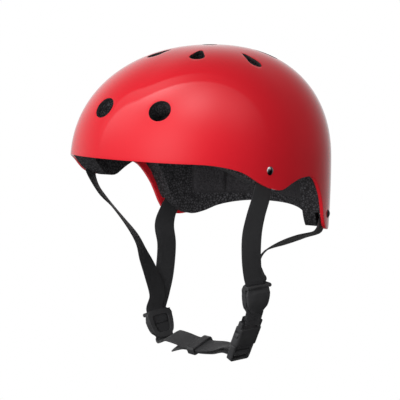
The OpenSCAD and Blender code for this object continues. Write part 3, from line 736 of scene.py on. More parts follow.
def dome_normal(dome, p):
    """Outward direction at a point near the surface."""
    e = 0.2
    here = dome.level(p)
    steps = (Vector((e, 0, 0)), Vector((0, e, 0)), Vector((0, 0, e)))
    return Vector([dome.level(p + s) - here for s in steps]).normalized()


def punch_vents(obj, dome, grow):
    """All the vents: four round, six teardrops and the crown's."""
    s = sizes()
    sideways = Vector((1, 0, 0))
    round_hole = circle_outline(s.round_vent / MM / 2 + grow)
    drop = drop_outline(s.drop_length / MM + 2 * grow, s.drop_broad / MM + grow, s.drop_tip / MM + grow)
    r = DROP_RING + (s.drop_length - s.drop_broad) / MM
    for side in (-1, 1):
        for y in (-BROW_VENT_Y, NAPE_VENT_Y):
            punch(obj, dome, (side * VENT_HALF_GAP, y), sideways, round_hole)
        for a in DROP_AZIMUTHS:
            way = Vector((side * sin(radians(a)), -cos(radians(a)), 0))
            punch(obj, dome, (way.x * r, way.y * r), -way, drop)
    punch(obj, dome, (0, 0), sideways, circle_outline(s.crown_vent / MM / 2 + grow))


def walled(sheet, wall, rounding, angle):
    """Gives a sheet its wall inward and rounds the wall's edges."""
    finish_with(sheet, "SOLIDIFY", thickness=wall, offset=-1, use_even_offset=True)
    round_edges(sheet, rounding, 3, angle)


class HELMET_OT_shell(bpy.types.Operator):
    """Model the gloss shell with its vents and rounded edge"""

    bl_idname = "helmet.shell"
    bl_label = "Shell"

    def execute(self, context):
        dome = Dome(0)
        shell = head_sheet("gloss_shell", dome, rim_height, *SHELL_CELLS)
        punch_vents(shell, dome, 0)
        walled(shell, sizes().wall, SHELL_ROUNDING, 45)
        smooth(shell, 50)
        dress(shell, gloss_red(), "helmet", "outer_shell", slot="shell_gloss")
        # The vents' walls get a near-black finish as painted shade, where the shell's red walls fall in
        # shadow.
        shell.data.materials.append(vent_wall_painted_shade())
        for face in shell.data.polygons:
            spot = face.center / MM
            if spot.z > PAINTED_SHADE_ABOVE and dome.level(spot) < PAINTED_SHADE_SUNK:
                if abs(face.normal.dot(dome_normal(dome, spot))) < PAINTED_SHADE_TURN:
                    face.material_index = 1
        return {"FINISHED"}


def wall_place(a, z, inset):
    """Place on the shell's wall: x along it, y outward, z up, origin an inset inside the outer face."""
    outer = Dome(0)
    out = outer.wall_out(a, z)
    up = (Vector((0, 0, 1)) - out * out.z).normalized()
    return outer.point_at(a, z) - out * inset, out.cross(up), out, up


# The rivets' places, how far the flat webbing stands off the curved wall, and the strap pockets
FRONT_AZ = 70.5
FRONT_Z = 4
REAR_AZ = 116
REAR_Z = -49.5
REAR_LEAN = 32
WALL_SAG = 1.1
WASHER = 1
POCKET_PLAY = 6
POCKET_SPARE = 3.4
POCKET_OUTSIDE = 8
POCKET_FOOT = -50
POCKET_HEAD = 14
POCKET_ROUNDING = 1.2


def strap_pockets(liner):
    """Cuts the four pockets that take the strap ends, as deep as the rivets' washers need."""
    s, h = sizes(), harness()
    wide = h.webbing_width / MM + POCKET_PLAY
    deep = WALL_SAG + h.webbing_thick / MM + WASHER + POCKET_SPARE
    spots = ((FRONT_AZ, FRONT_Z, 0), (360 - FRONT_AZ, FRONT_Z, 0),
             (REAR_AZ, REAR_Z, -REAR_LEAN), (360 - REAR_AZ, REAR_Z, REAR_LEAN))
    for a, z, lean in spots:
        origin, x, y, up = wall_place(a, z, s.wall / MM)
        place = place_of(origin * MM, x, y, up)
        turn = Matrix.Rotation(radians(lean), 4, "Y")
        start_fresh()
        bpy.ops.mesh.primitive_cube_add(size=1)
        cutter = named("pocket_cutter")
        for v in cutter.data.vertices:
            depth = mix(-deep, POCKET_OUTSIDE, v.co.y + 0.5)
            local = Vector((v.co.x * wide, depth, mix(POCKET_FOOT, POCKET_HEAD, v.co.z + 0.5)))
            v.co = place @ (turn @ local * MM)
        finish_with(cutter, "BEVEL", width=POCKET_ROUNDING * MM, segments=3)
        finish_with(liner, "BOOLEAN", operation="DIFFERENCE", object=cutter, solver="EXACT")
        bpy.data.objects.remove(cutter)


class HELMET_OT_liner(bpy.types.Operator):
    """Model the bead-foam liner with its vents and strap pockets"""

    bl_idname = "helmet.liner"
    bl_label = "Foam liner"

    def execute(self, context):
        s = sizes()
        dome = Dome((s.wall + s.liner_gap) / MM)
        liner = head_sheet("bead_foam_liner", dome, liner_rim_height, *LINER_CELLS)
        punch_vents(liner, dome, VENT_FLARE)
        walled(liner, s.liner, LINER_ROUNDING, 50)
        strap_pockets(liner)
        smooth(liner, 45)
        dress(liner, bead_foam(), "helmet", "foam_liner", slot="liner_foam")
        return {"FINISHED"}


# Pads: shares of a pad's height at its edge and in its seams, and the ring pad's sizes

PAD_ROWS = 20
RIM_POINTS = 60
PAD_EDGE = 0.34
SEAM_LEFT = 0.5
SEAM_HALF = 0.035
RING_RADIUS = 24
RING_HALF = 9
RING_SQUARE = 0.7
RING_SEAM_CUT = 0.4
RING_SEAM_HALF = 4


def swell(s, squareness, power):
    """Rises from 0 at the ends of the span from 0 to 1 to a flat middle."""
    return max(0, 1 - abs(2 * s - 1) ** squareness) ** power


def pillow(s, t):
    """Share of a pad's height at s along and t across."""
    return mix(PAD_EDGE, 1, swell(s, 6, 0.45) * swell(t, 4, 0.5))


def pad_outline(s):
    """Share of a pad's width at s along."""
    return 0.72 + 0.28 * swell(s, 7, 0.5)


def groove(s, count):
    """Share of the height that the sewn channels leave."""
    gap = min(abs(s - (k + 1) / (count + 1)) for k in range(count))
    return mix(SEAM_LEFT, 1, min(1, gap / SEAM_HALF) ** 0.6)


def pad_back():
    """Inset of the faces that the pads lie on."""
    s = sizes()
    return (s.wall + s.liner_gap + s.liner + s.pad_gap) / MM


def cushion(pad, node, bend):
    """Finishes a padded piece in cloth."""
    smooth(pad, bend)
    dress(pad, pad_cloth(), "helmet", node, slot="pad_cloth")


def wall_pad(name, node, a0, a1, low, seams, cells):
    """Cushion on the liner's inner face from azimuth a0 to a1, with sewn channels and piping."""
    h = harness()
    back, tall, thick = pad_back(), h.pad_height / MM, h.pad / MM

    def spot(along, across, depth):
        q = (1 - pad_outline(along)) / 2
        a = mix(a0, a1, along) % 360
        return Dome(back + depth).point_at(a, low + tall * mix(q, 1 - q, across))

    pad = grid(name, cells, PAD_ROWS, slab=True)
    for v in pad.data.vertices:
        along, across, layer = v.co.x + 0.5, v.co.y + 0.5, v.co.z
        depth = layer * thick * pillow(along, across) * groove(along, seams)
        v.co = spot(along, across, depth) * MM
    in_edit(pad, face_out)
    finish_with(pad, "SUBSURF", levels=1, render_levels=1)
    cushion(pad, node, 70)
    rim = []
    corners = ((0, 0), (1, 0), (1, 1), (0, 1), (0, 0))
    for (p, q), (r, s), n in zip(corners, corners[1:], (RIM_POINTS, PAD_ROWS, RIM_POINTS, PAD_ROWS)):
        rim += [(mix(p, r, i / n), mix(q, s, i / n)) for i in range(n)]
    piping(name + "_piping", [spot(p, q, thick * PAD_EDGE) for p, q in rim])


def piping(name, points):
    """Closed round cord of cloth through points in millimetres."""
    curve = bpy.data.curves.new(name, "CURVE")
    curve.dimensions = "3D"
    curve.bevel_depth = harness().piping
    curve.bevel_resolution = 2
    spline = curve.splines.new("POLY")
    spline.points.add(len(points) - 1)
    for point, p in zip(spline.points, points):
        point.co = (*(p * MM), 1)
    spline.use_cyclic_u = True
    pick(placed(name, curve))
    bpy.ops.object.convert(target="MESH")
    smooth(bpy.context.object, 70)
    dress(bpy.context.object, pad_cloth(), "helmet", slot="pad_cloth")


def ring_pad():
    """Ring cushion round the crown vent."""
    back, thick = pad_back(), harness().crown_pad / MM
    start_fresh()
    bpy.ops.mesh.primitive_torus_add(major_segments=96, minor_segments=24, major_radius=1, minor_radius=0.5)
    pad = named("crown_ring_pad")
    for v in pad.data.vertices:
        turn = atan2(v.co.y, v.co.x)
        b = atan2(v.co.z, hypot(v.co.x, v.co.y) - 1)
        r = RING_RADIUS + RING_HALF * signed_power(cos(b), RING_SQUARE)
        x, y = r * cos(turn), r * sin(turn)
        seam = 1 - RING_SEAM_CUT * max(0, 1 - abs((degrees(turn) % 90) - 45) / RING_SEAM_HALF)
        depth = thick * (0.5 + 0.5 * signed_power(sin(b), RING_SQUARE)) * seam
        v.co = Vector((x, y, Dome(back + depth).height(x, y))) * MM
    in_edit(pad, face_out)
    cushion(pad, "crown_pad", 80)


class HELMET_OT_pads(bpy.types.Operator):
    """Model the comfort pads and finish their hook-and-loop patches"""

    bl_idname = "helmet.pads"
    bl_label = "Comfort pads"

    def execute(self, context):
        wall_pad("brow_cushion", "brow_pad", -50, 50, BROW_RISE + 6, 2, 72)
        wall_pad("side_cushion_left", "side_pad_left", 74, 110, 5 - EAR_DROP, 1, 40)
        wall_pad("side_cushion_right", "side_pad_right", -110, -74, 5 - EAR_DROP, 1, 40)
        wall_pad("nape_cushion_left", "nape_pad_left", 124, 174, 8 - BACK_DROP, 1, 40)
        wall_pad("nape_cushion_right", "nape_pad_right", -174, -124, 8 - BACK_DROP, 1, 40)
        ring_pad()
        finish_node("pad_patches", pad_cloth())
        return {"FINISHED"}


# Copies of the solids

VOXEL = 0.4
FINE_VOXEL = 0.3
EASED_TIMES = 6
RIVET_ROUNDING = 0.25
ARM_ROUNDING = 0.3
# The dividers' lens shape, which starts below the lid's hinge
HINGE_CLEAR = 9
LENS_HALF_WIDTH = 15
LENS_HALF_HEIGHT = 16
LENS_SWELL = 1.6
LENS_SQUARE = 2.6
LENS_FADE = 3


def finish_node(node, material):
    """Gives a CAD node its material."""
    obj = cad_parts[node]
    obj.data.materials.clear()
    obj.data.materials.append(material)


def copy_of(node, name, *steps):
    """A copy of a CAD node, welded, with further edit-mode steps run on it."""
    obj = placed(name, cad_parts[node].data.copy())
    in_edit(obj, lambda: weld(0.005), *steps)
    return obj


def moulded_copy(node, name, body, detail=VOXEL, shape=None):
    """A copy of a CAD node remeshed and eased like a moulding, which stands for the node."""
    obj = copy_of(node, name)
    finish_with(obj, "REMESH", mode="VOXEL", voxel_size=detail * MM, use_smooth_shade=True)
    finish_with(obj, "SMOOTH", factor=0.5, iterations=EASED_TIMES)
    if shape:
        for v in obj.data.vertices:
            v.co = shape(v.co / MM) * MM
    in_edit(obj, face_out)
    smooth(obj, 80)
    dress(obj, moulded_plastic(), body, node, slot="buckle_plastic")


def rounded_copy(node, name, finish, body, slot, rounding):
    """A copy of a CAD node with its edges rounded, which stands for the node."""
    obj = copy_of(node, name,
                  lambda: bpy.ops.mesh.dissolve_limited(angle_limit=radians(2), delimit={"NORMAL"}))
    round_edges(obj, rounding, 2, 35)
    smooth(obj)
    dress(obj, finish, body, node, slot=slot)


def lens_of(place):
    """Shaping that rounds a divider's outline towards a lens and swells its outer face."""
    origin, x_way, y_way, z_way = place

    def share(v):
        return max(0, min(1, v))

    def shape(p):
        d = p - origin
        u, y, w = d.dot(x_way) / LENS_HALF_WIDTH, d.dot(y_way), d.dot(z_way) / LENS_HALF_HEIGHT
        flat = max(abs(u), abs(w), 1e-6)
        round_off = (abs(u) ** LENS_SQUARE + abs(w) ** LENS_SQUARE) ** (1 / LENS_SQUARE)
        below_hinge = share((HINGE_CLEAR - w * LENS_HALF_HEIGHT) / LENS_FADE)
        k = mix(1, flat / max(round_off, 1e-6), min(1, flat**2) * below_hinge)
        bulge = LENS_SWELL * max(0, 1 - round_off**2) * share(y / LENS_FADE) * below_hinge
        wide, tall = u * k * LENS_HALF_WIDTH, w * k * LENS_HALF_HEIGHT
        return origin + x_way * wide + y_way * (y + bulge) + z_way * tall

    return shape


class HELMET_OT_rivets(bpy.types.Operator):
    """Finish the rivets and washers"""

    bl_idname = "helmet.rivets"
    bl_label = "Rivets"

    def execute(self, context):
        chrome = metal("polished_rivet", (0.8, 0.81, 0.83), 0.12, 900)
        for side in ("left", "right"):
            for node, name, finish, slot in (
                ("front_rivet_", "chrome_rivet_", chrome, "rivet_chrome"),
                ("rear_rivet_", "black_rivet_", black_enamel(), "rivet_black"),
            ):
                rounded_copy(node + side, name + side, finish, "helmet", slot, RIVET_ROUNDING)
        finish_node("rivet_washers", metal("brushed_washer", (0.55, 0.56, 0.58), 0.35, 500))
        return {"FINISHED"}


# Harness: the places of its fittings and the straps' routes, in millimetres


def frame_of(origin, out, up):
    """Place with z up, y outward and x across the webbing."""
    z = Vector(up).normalized()
    y = Vector(out)
    y = (y - z * y.dot(z)).normalized()
    return Vector(origin), y.cross(z), y, z


# Places of the dividers and of the buckle
LEFT_DIVIDER = frame_of((71.6, -30.4, -117), (0.966, -0.259, 0), (0.08, -0.04, 1))
RIGHT_DIVIDER = frame_of((-78.8, 28, -170), (-0.94, 0.34, 0), (-0.38, 0.06, 0.92))
BUCKLE = frame_of((66, -29, -140), (0.985, -0.174, 0), (0.407, -0.058, 0.911))
# How far beside a divider's middle a strap enters, and how far the chin strap leans at the plug's bar
ENTRY = 2.2
BAR_LEAN = 20
# The doubled chin strap: the way from its lower layer to its upper, the way across, the keeper's run
LAYER_DIR = Vector((-0.115, -0.38, 0.91)).normalized()
PAIR_ACROSS = (0.3, 0.87, 0.4)
KEEPER_FROM = Vector((9, -17.2, -173.4))
KEEPER_TO = Vector((-15, -9, -174.2))
# Height of the plug's cross piece between the socket's mouth and its own slot
CROSS_BAR = 4.2


def web_at(f, x, y, z, lean=0):
    """Station of webbing at a place: its middle and its direction across."""
    t = radians(lean)
    return f[0] + f[1] * x + f[2] * y + f[3] * z, f[1] * cos(t) + f[3] * sin(t)


def turned(station):
    """The same station with its edges swapped."""
    return station[0], -station[1]


def key(x, y, z, i, j, k):
    """Station given by its middle and its direction across."""
    return Vector((x, y, z)), Vector((i, j, k))


def layer(p, h, w):
    """Station a height above the middle of the doubled stretch."""
    return Vector(p) + LAYER_DIR * h, Vector(w)


def eased(keys, n=6):
    """Smooth run of stations through keys."""
    run = []
    for i in range(len(keys) - 1):
        a, b = keys[max(i - 1, 0)], keys[i]
        c, d = keys[i + 1], keys[min(i + 2, len(keys) - 1)]
        for k in range(n):
            t = k / n
            run.append(tuple(
                (2 * b[j] + (c[j] - a[j]) * t + (2 * a[j] - 5 * b[j] + 4 * c[j] - d[j]) * t**2
                 + (3 * b[j] - a[j] - 3 * c[j] + d[j]) * t**3) / 2
                for j in range(2)
            ))
    return run + [keys[-1]]


class Routes:
    """The routes of all the webbing."""

    def __init__(self):
        s, h = sizes(), harness()
        self.thick = h.webbing_thick / MM
        gap = s.seat / MM
        self.mid = s.wall / MM + gap + WALL_SAG + self.thick / 2
        self.rear = -0.4
        self.front = self.rear + self.thick + gap
        self.loop = h.bar / MM / 2 + 0.25 + self.thick / 2
        top = -h.bar / MM / 2 - h.slot / MM
        self.plug_bar = top - h.socket / MM - 0.3 - CROSS_BAR - h.slot / MM - h.bar / MM / 2
        self.pair = self.thick / 2 + 0.15

    def on_wall(self, a, z, lean):
        """Webbing against the shell's inner face."""
        return web_at(wall_place(a, z, self.mid), 0, 0, 0, lean)

    def round_bar(self, z, start, end, steps=12):
        """Webbing round a bar of the buckle."""
        turns = [radians(mix(start, end, i / steps)) for i in range(steps + 1)]
        return [web_at(BUCKLE, 0, self.loop * cos(b), z + self.loop * sin(b)) for b in turns]

    def by_bar(self, along, height):
        """Webbing near the plug's bar."""
        c, s = cos(radians(BAR_LEAN)), sin(radians(BAR_LEAN))
        return turned(web_at(BUCKLE, 0, -along * c - height * s, self.plug_bar - along * s + height * c))

    def front_left(self):
        return eased([
            self.on_wall(FRONT_AZ + 0.6, FRONT_Z + 9, 12),
            self.on_wall(FRONT_AZ, FRONT_Z, 12),
            self.on_wall(FRONT_AZ - 1.2, FRONT_Z - 12, 10),
            key(93.9, -55.6, -21.4, -0.34, -0.94, 0.05),
            key(88.7, -55.8, -37.5, -0.38, -0.92, 0.05),
            key(83.4, -53.5, -54.6, -0.42, -0.9, 0.05),
            key(78.2, -46.6, -75.7, -0.38, -0.92, -0.05),
            key(74, -37.6, -94.6, -0.28, -0.95, -0.03),
            web_at(LEFT_DIVIDER, ENTRY - 0.4, self.front, 13, -5),
        ]) + [
            web_at(LEFT_DIVIDER, ENTRY * 0.5, self.front + 0.1, 0, -5),
            web_at(LEFT_DIVIDER, 0.3, self.front + 0.1, -14, -3),
        ] + self.round_bar(0, 20, -200) + [web_at(BUCKLE, 0, -self.loop - 0.2, 5.5)]

    def rear_left(self):
        return eased([
            self.on_wall(REAR_AZ + 1.6, REAR_Z + 8, 25),
            self.on_wall(REAR_AZ, REAR_Z, 30),
            self.on_wall(REAR_AZ - 4, REAR_Z - 11, 42),
            key(84.5, 43, -67, 0.84, -0.22, 0.5),
            key(79, 20, -69.5, 0.8, -0.26, 0.55),
            key(74.5, 1.5, -71.8, 0.8, -0.36, 0.48),
            key(71, -11.5, -76, 0.66, -0.7, 0.28),
            key(68.6, -19.5, -84.5, 0.3, -0.95, 0.1),
            key(69.2, -24, -93, -0.1, -0.99, 0),
            web_at(LEFT_DIVIDER, -ENTRY - 0.5, self.rear - 0.1, 18, 5),
            web_at(LEFT_DIVIDER, -ENTRY, self.rear, 13, 4),
        ]) + [
            web_at(LEFT_DIVIDER, -ENTRY * 0.5, self.rear, 0, 6),
            web_at(LEFT_DIVIDER, -0.3, self.rear, -14, 3),
            web_at(BUCKLE, 0, 0.5, 3.2),
        ]

    def front_right(self):
        return eased([
            self.on_wall(360 - FRONT_AZ - 0.6, FRONT_Z + 9, -12),
            self.on_wall(360 - FRONT_AZ, FRONT_Z, -12),
            self.on_wall(360 - FRONT_AZ + 1.2, FRONT_Z - 12, -14),
            key(-94, -51, -26, -0.6, 0.74, 0.3),
            key(-91, -36.5, -42, -0.78, 0.51, 0.37),
            key(-88, -17, -63, -0.7, 0.65, 0.3),
            key(-86, -1, -82, -0.5, 0.82, 0.27),
            key(-85, 8, -99.5, -0.25, 0.92, 0.25),
            key(-84.3, 19, -118.5, 0, 0.96, 0.2),
            key(-83, 27.5, -140, 0.2, 0.97, 0.12),
            web_at(RIGHT_DIVIDER, -ENTRY - 0.2, self.rear - 0.6, 17.5, 6),
            web_at(RIGHT_DIVIDER, -ENTRY, self.rear, 13, 6),
        ]) + [web_at(RIGHT_DIVIDER, -ENTRY * 0.5, self.rear, 1, 6)]

    def rear_right(self):
        return eased([
            self.on_wall(360 - REAR_AZ - 1.6, REAR_Z + 8, -25),
            self.on_wall(360 - REAR_AZ, REAR_Z, -30),
            self.on_wall(360 - REAR_AZ + 4, REAR_Z - 11, -28),
            key(-90.5, 50, -75, 0.62, 0.78, 0),
            key(-85.5, 47, -94, 0.5, 0.86, 0),
            key(-84.5, 42, -121, 0.48, 0.87, 0.02),
            key(-85.8, 37, -141, 0.42, 0.9, 0.05),
            web_at(RIGHT_DIVIDER, ENTRY + 0.3, self.front + 0.5, 18, -4),
            web_at(RIGHT_DIVIDER, ENTRY, self.front, 13, -4),
        ]) + [
            web_at(RIGHT_DIVIDER, ENTRY * 0.5, self.front, 0, -4),
            web_at(RIGHT_DIVIDER, 0.2, self.front, -9, -2),
        ]

    def chin(self):
        pair = self.pair
        middle = KEEPER_FROM.lerp(KEEPER_TO, 0.45)
        upper = [web_at(RIGHT_DIVIDER, 0, self.rear, 0)] + eased([
            web_at(RIGHT_DIVIDER, 0, self.rear, -10),
            key(-72.6, 26.9, -184, 0.36, 0.92, 0.1),
            key(-65.6, 19.7, -183.4, 0.42, 0.88, 0.18),
            key(-57, 11.9, -178.8, 0.38, 0.86, 0.33),
            key(-48.5, 5.6, -174.2, 0.33, 0.86, 0.4),
            key(-31, -2.7, -173, 0.31, 0.87, 0.4),
            layer(KEEPER_TO, pair, PAIR_ACROSS),
            layer(middle, pair, PAIR_ACROSS),
            layer(KEEPER_FROM, pair + 0.1, PAIR_ACROSS),
            layer((27, -22.2, -170.6), 1.5, (0.26, 0.91, 0.3)),
            self.by_bar(12, 2.2),
            self.by_bar(4, self.loop),
        ])
        bend = [turned(s) for s in self.round_bar(self.plug_bar, 90 + BAR_LEAN, BAR_LEAN - 90)]
        lower = eased([
            self.by_bar(4, -self.loop),
            self.by_bar(12, -2.4),
            layer((27, -22.2, -170.6), -1.8, (0.26, 0.91, 0.3)),
            layer(KEEPER_FROM, -pair - 0.1, PAIR_ACROSS),
            layer(middle, -pair, PAIR_ACROSS),
            layer(KEEPER_TO, -pair - 0.2, PAIR_ACROSS),
            key(-25, -5.3, -178.2, 0.3, 0.88, 0.38),
            key(-35.5, -1.2, -181.2, 0.3, 0.85, 0.45),
        ])
        return upper + bend + lower


class Track:
    """A run of stations measured along its length."""

    def __init__(self, stations):
        self.stations = stations
        self.marks = [0.0]
        for a, b in zip(stations, stations[1:]):
            self.marks.append(self.marks[-1] + (b[0] - a[0]).length)
        self.length = self.marks[-1]

    def at(self, distance):
        """Middle, direction across and direction of the face, at a distance."""
        d = max(0, min(self.length - 1e-6, distance))
        i = max(k for k in range(len(self.marks) - 1) if self.marks[k] <= d)
        t = (d - self.marks[i]) / max(1e-9, self.marks[i + 1] - self.marks[i])
        a, b = self.stations[i], self.stations[i + 1]
        way = self.direction(i).lerp(self.direction(i + 1), t).normalized()
        side = a[1].normalized().lerp(b[1].normalized(), t)
        side = (side - way * side.dot(way)).normalized()
        return a[0].lerp(b[0], t), side, side.cross(way)

    def direction(self, i):
        """Direction along at a station."""
        last = len(self.stations) - 1
        return (self.stations[min(i + 1, last)][0] - self.stations[max(i - 1, 0)][0]).normalized()


# The webbing's mesh, its thinner edges and its hem, and the stitches' rows, sizes and lift off the web
WEB_CELLS = 8
ROW_PITCH = 1.3
EDGE_THINNING = 0.5
EDGE_SQUARE = 8
HEM_THICKENING = 1.45
HEM_LENGTH = 9
HEM_STITCHES = (2.4, 7)
HEM_LIFT = 0.36
BAR_STITCHES = (18.5, 21.5)
BAR_LIFT = 0.05
STITCH_PITCH = 1.3
STITCH_HALF_WIDTH = 0.3
STITCH_HALF_HEIGHT = 0.22
SEWING_MARGIN = 4


def webbing(name, node, track, body=None, hem=0):
    """Woven strap along a track, with closed edges, its own UV and, where asked, a hem at its end."""
    h = harness()
    wide, thick = h.webbing_width / MM, h.webbing_thick / MM
    rows = int(track.length / ROW_PITCH)
    marks = [track.length * row / rows for row in range(rows + 1)]
    spots = [track.at(mark) for mark in marks]
    strap = grid(name, WEB_CELLS, rows, slab=True)
    flat = []
    for v in strap.data.vertices:
        row = round((v.co.y + 0.5) * rows)
        middle, side, face = spots[row]
        s = v.co.x * 2
        half = thick / 2 * (1 - EDGE_THINNING * abs(s) ** EDGE_SQUARE)
        if track.length * (1 - row / rows) < hem:
            half *= HEM_THICKENING
        flat.append((s / 2 + 0.5, marks[row]))
        v.co = (middle + side * s * wide / 2 + face * half * (2 * v.co.z - 1)) * MM
    uv = strap.data.uv_layers.active
    for loop in strap.data.loops:
        uv.data[loop.index].uv = flat[loop.vertex_index]
    in_edit(strap, face_out)
    smooth(strap, 60)
    return dress(strap, woven_webbing(), body, node, slot="webbing")


def stitch_shape():
    """One stitch: a short thread with rounded ends along X."""
    start_fresh()
    bpy.ops.mesh.primitive_uv_sphere_add(segments=8, ring_count=6, radius=1)
    one = named("stitch_pattern")
    half = harness().stitch / 2
    for v in one.data.vertices:
        v.co = (v.co.x * half, v.co.y * STITCH_HALF_WIDTH * MM, v.co.z * STITCH_HALF_HEIGHT * MM)
    return one


def sew(name, track, body, rows, lift, inner=False):
    """Rows of stitches across a strap; each row is a distance back from its end."""
    h = harness()
    one = stitch_shape()
    joined = bmesh.new()
    thick = h.webbing_thick / MM / 2 + lift
    pitch = h.stitch / MM * STITCH_PITCH
    count = int((h.webbing_width / MM - SEWING_MARGIN) / pitch)
    for distance in rows:
        middle, side, face = track.at(track.length - distance)
        if inner:
            face = -face
        for i in range(count + 1):
            spot = (middle + side * (i - count / 2) * pitch + face * thick) * MM
            joined.from_mesh(one.data)
            bmesh.ops.transform(joined, matrix=place_of(spot, side, -side.cross(face), face),
                                verts=joined.verts[-len(one.data.vertices):])
    one.data.name = name + "_unit"
    mesh = bpy.data.meshes.new(name)
    joined.to_mesh(mesh)
    joined.free()
    bpy.data.objects.remove(one)
    obj = placed(name, mesh)
    smooth(obj, 80)
    dress(obj, sewing_thread(), body, slot="webbing")


class HELMET_OT_straps(bpy.types.Operator):
    """Model the webbing straps with their stitching"""

    bl_idname = "helmet.straps"
    bl_label = "Webbing straps"

    def execute(self, context):
        routes = Routes()
        tracks = {}
        for side in ("left", "right"):
            for end in ("front", "rear"):
                track = Track(getattr(routes, f"{end}_{side}")())
                webbing(f"{end}_web_{side}", f"{end}_strap_{side}", track, "helmet")
                tracks[end, side] = track
        chin = Track(routes.chin())
        strap = webbing("chin_web", "chin_strap", chin, hem=HEM_LENGTH)
        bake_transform(strap)
        sew("hem_stitches", chin, "plug", HEM_STITCHES, HEM_LIFT, inner=True)
        sew("buckle_stitches", tracks["front", "left"], "helmet", BAR_STITCHES, BAR_LIFT)
        return {"FINISHED"}


# Dividers and buckle


class HELMET_OT_dividers(bpy.types.Operator):
    """Model the two strap dividers and their hinged locks"""

    bl_idname = "helmet.dividers"
    bl_label = "Strap dividers"

    def execute(self, context):
        for side, place in (("left", LEFT_DIVIDER), ("right", RIGHT_DIVIDER)):
            lens = lens_of(place)
            moulded_copy("divider_" + side, "strap_divider_" + side, "helmet", FINE_VOXEL, lens)
            moulded_copy("divider_lock_" + side, "lock_lid_" + side, "lock_" + side, FINE_VOXEL, lens)
        return {"FINISHED"}


class HELMET_OT_buckle(bpy.types.Operator):
    """Model the side-release buckle and the strap keeper"""

    bl_idname = "helmet.buckle"
    bl_label = "Buckle"

    def execute(self, context):
        moulded_copy("buckle_socket", "buckle_socket_body", "helmet")
        moulded_copy("buckle_plug", "buckle_plug_body", "plug")
        for end in ("front", "rear"):
            rounded_copy("buckle_arm_" + end, "release_arm_" + end, moulded_plastic(), "arm_" + end,
                         "buckle_plastic", ARM_ROUNDING)
        moulded_copy("strap_keeper", "web_keeper", "keeper")
        return {"FINISHED"}


# Studio

LAMP_SIZE = 0.8
LAMP_REACH = 1.6
FRONT_WATTS = 9.2
SIDE_WATTS = 6
EDGE_BLUR = 0.025
FLOOR_SIZE = 30
WHITE = (1, 1, 1, 1)
# Soft glows of the room: azimuth from the front, elevation, tightness, strength
ROOM_GLOWS = ((-150, 0, 6, 0.8), (-120, 25, 15, 0.37), (-90, 0, 6, 0.67), (0, 25, 6, 1.24))
# Glows seen only through the big overhead softbox
BOX_GLOWS = (
    (-90, 60, 20, 3.5), (-60, 35, 20, 1.0), (30, 75, 15, 1.55), (60, 70, 8, 0.63), (112, 48, 15, 0.4)
)
# Planes of the softbox's inner edge and of its paler frame, with the share of light inside each
BOX_EDGES = (((0.59, -0.807, 0.2), 0.78), ((0.59, -0.807, 0.43), 0.22))


def towards(azimuth, elevation):
    """Direction at an azimuth from the front and an elevation in degrees."""
    a, e = radians(azimuth), radians(elevation)
    return Vector((sin(a) * cos(e), -cos(a) * cos(e), sin(e)))


def look_from(obj, way, distance):
    """Puts a camera or lamp out along a direction, turned to the frame's origin."""
    obj.location = way * distance
    obj.rotation_euler = (-way).to_track_quat("-Z", "Y").to_euler()


def soft_lamp(name, way, watts):
    """Soft square lamp, unseen in the gloss, that shines on the helmet."""
    lamp = bpy.data.lights.new(name, "AREA")
    lamp.size = LAMP_SIZE
    lamp.energy = watts
    obj = placed(name, lamp)
    look_from(obj, way, LAMP_REACH)
    obj.visible_glossy = False


def facing(nodes, way, direction):
    """Cosine of the angle between a direction input and a fixed direction."""
    return nodes.work("VectorMath", "DOT_PRODUCT", way, Vector(direction).normalized())["Value"]


def glow_sum(nodes, way, glows):
    """Sum of round soft glows over the directions of a sphere."""
    total = 0.0
    for azimuth, elevation, tightness, strength in glows:
        near = facing(nodes, way, towards(azimuth, elevation))
        fall = nodes.times(nodes.math("SUBTRACT", near, 1.0), tightness)
        total = nodes.add(nodes.times(nodes.math("EXPONENT", fall), strength), total)
    return total


def room_light(nodes):
    """Strength of the room's soft glows and of the overhead softbox, whose edge is an arch in the gloss."""
    way = nodes.coordinates("Generated")
    inside_box = 0.0
    for plane, share in BOX_EDGES:
        edge = nodes.node("MapRange", Value=facing(nodes, way, plane), From_Min=-EDGE_BLUR,
                          From_Max=EDGE_BLUR, To_Max=share)
        edge.interpolation_type = "SMOOTHSTEP"
        inside_box = nodes.add(edge.outputs["Result"], inside_box)
    box = nodes.times(glow_sum(nodes, way, BOX_GLOWS), inside_box)
    return nodes.add(glow_sum(nodes, way, ROOM_GLOWS), box)


def room_in_floor(nodes, lit):
    """The floor's shader, which shows the gloss the room's glows run on below the horizon."""
    way = nodes.work("VectorMath", "NORMALIZE", nodes.coordinates("Object"))["Vector"]
    sweep = nodes.node("Emission", Strength=glow_sum(nodes, way, ROOM_GLOWS))
    glossy = nodes.node("LightPath").outputs["Is Glossy Ray"]
    return nodes.blended(glossy, lit, sweep.outputs["Emission"])


def shown_white(nodes, lit, kind, out):
    """Feeds an output with a shader that the camera sees as white."""
    path = nodes.node("LightPath").outputs
    seen = nodes.math("MAXIMUM", path["Is Camera Ray"], path["Is Transmission Ray"])
    white = nodes.node(kind, Color=WHITE, Strength=1.0)
    nodes.feed(nodes.tree.nodes[out], Surface=nodes.blended(seen, lit, white.outputs[0]))


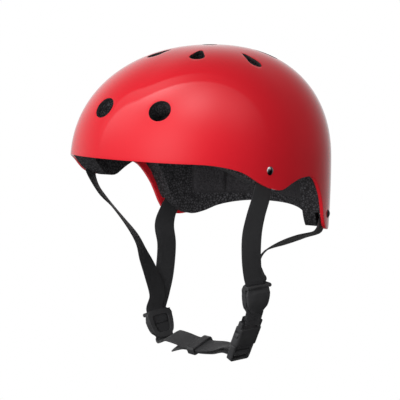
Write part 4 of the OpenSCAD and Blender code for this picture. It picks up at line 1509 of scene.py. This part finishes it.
class HELMET_OT_stage(bpy.types.Operator):
    """Set up the camera, the pale floor and the soft lamps"""

    bl_idname = "helmet.stage"
    bl_label = "Studio"

    def execute(self, context):
        st = context.scene.helmet_studio
        camera = bpy.data.cameras.new("photo_camera")
        camera.lens, camera.shift_x, camera.shift_y = st.lens, st.shift_x, st.shift_y
        camera.clip_end = 50
        context.scene.camera = placed("photo_camera", camera)
        look_from(context.scene.camera, towards(degrees(st.azimuth), degrees(st.elevation)), st.distance)
        start_fresh()
        bpy.ops.mesh.primitive_plane_add(size=FLOOR_SIZE)
        floor = named("studio_floor")
        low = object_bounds()[0].z - st.floor_drop
        for v in floor.data.vertices:
            v.co.z = low
        p = Paint("studio_floor", colours().floor, 0.9)
        shown_white(p, room_in_floor(p, p.shader.outputs["BSDF"]), "Emission", "Material Output")
        floor.data.materials.append(p.material)
        floor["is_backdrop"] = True
        context.scene.world = bpy.data.worlds.new("studio_air")
        context.scene.world.use_nodes = True
        room = Nodes(context.scene.world.node_tree)
        air = room.feed(room.tree.nodes["Background"], Color=WHITE, Strength=room_light(room))
        shown_white(room, air.outputs[0], "Background", "World Output")
        soft_lamp("front_lamp", towards(0, 2), FRONT_WATTS)
        soft_lamp("side_lamp", towards(30, 2), SIDE_WATTS)
        context.scene.view_settings.view_transform = "Standard"
        return {"FINISHED"}


class HELMET_PT_panel(bpy.types.Panel):
    """Buttons for the modelling steps, in their order"""

    bl_label = "Sport helmet"
    bl_idname = "HELMET_PT_panel"
    bl_space_type = "VIEW_3D"
    bl_region_type = "UI"
    bl_category = "Helmet"

    def draw(self, context):
        for step in STEPS:
            self.layout.operator("helmet." + step)


STEPS = ("shell", "liner", "pads", "rivets", "straps", "dividers", "buckle", "stage")
GROUPS = {
    "helmet_shell": HelmetShellSizes,
    "helmet_harness": HelmetHarnessSizes,
    "helmet_colours": HelmetColours,
    "helmet_studio": HelmetStudio,
}
CLASSES = (
    *GROUPS.values(),
    HELMET_OT_shell,
    HELMET_OT_liner,
    HELMET_OT_pads,
    HELMET_OT_rivets,
    HELMET_OT_straps,
    HELMET_OT_dividers,
    HELMET_OT_buckle,
    HELMET_OT_stage,
    HELMET_PT_panel,
)


def register():
    """Registers the classes and their settings."""
    for c in CLASSES:
        bpy.utils.register_class(c)
    for name, group in GROUPS.items():
        setattr(bpy.types.Scene, name, bpy.props.PointerProperty(type=group))


def unregister():
    """Takes the classes and their settings out again."""
    for name in GROUPS:
        delattr(bpy.types.Scene, name)
    for c in reversed(CLASSES):
        bpy.utils.unregister_class(c)


def main():
    """Builds the whole scene."""
    register()
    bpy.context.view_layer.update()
    for step in STEPS:
        getattr(bpy.ops.helmet, step)()


if __name__ == "__main__":
    main()
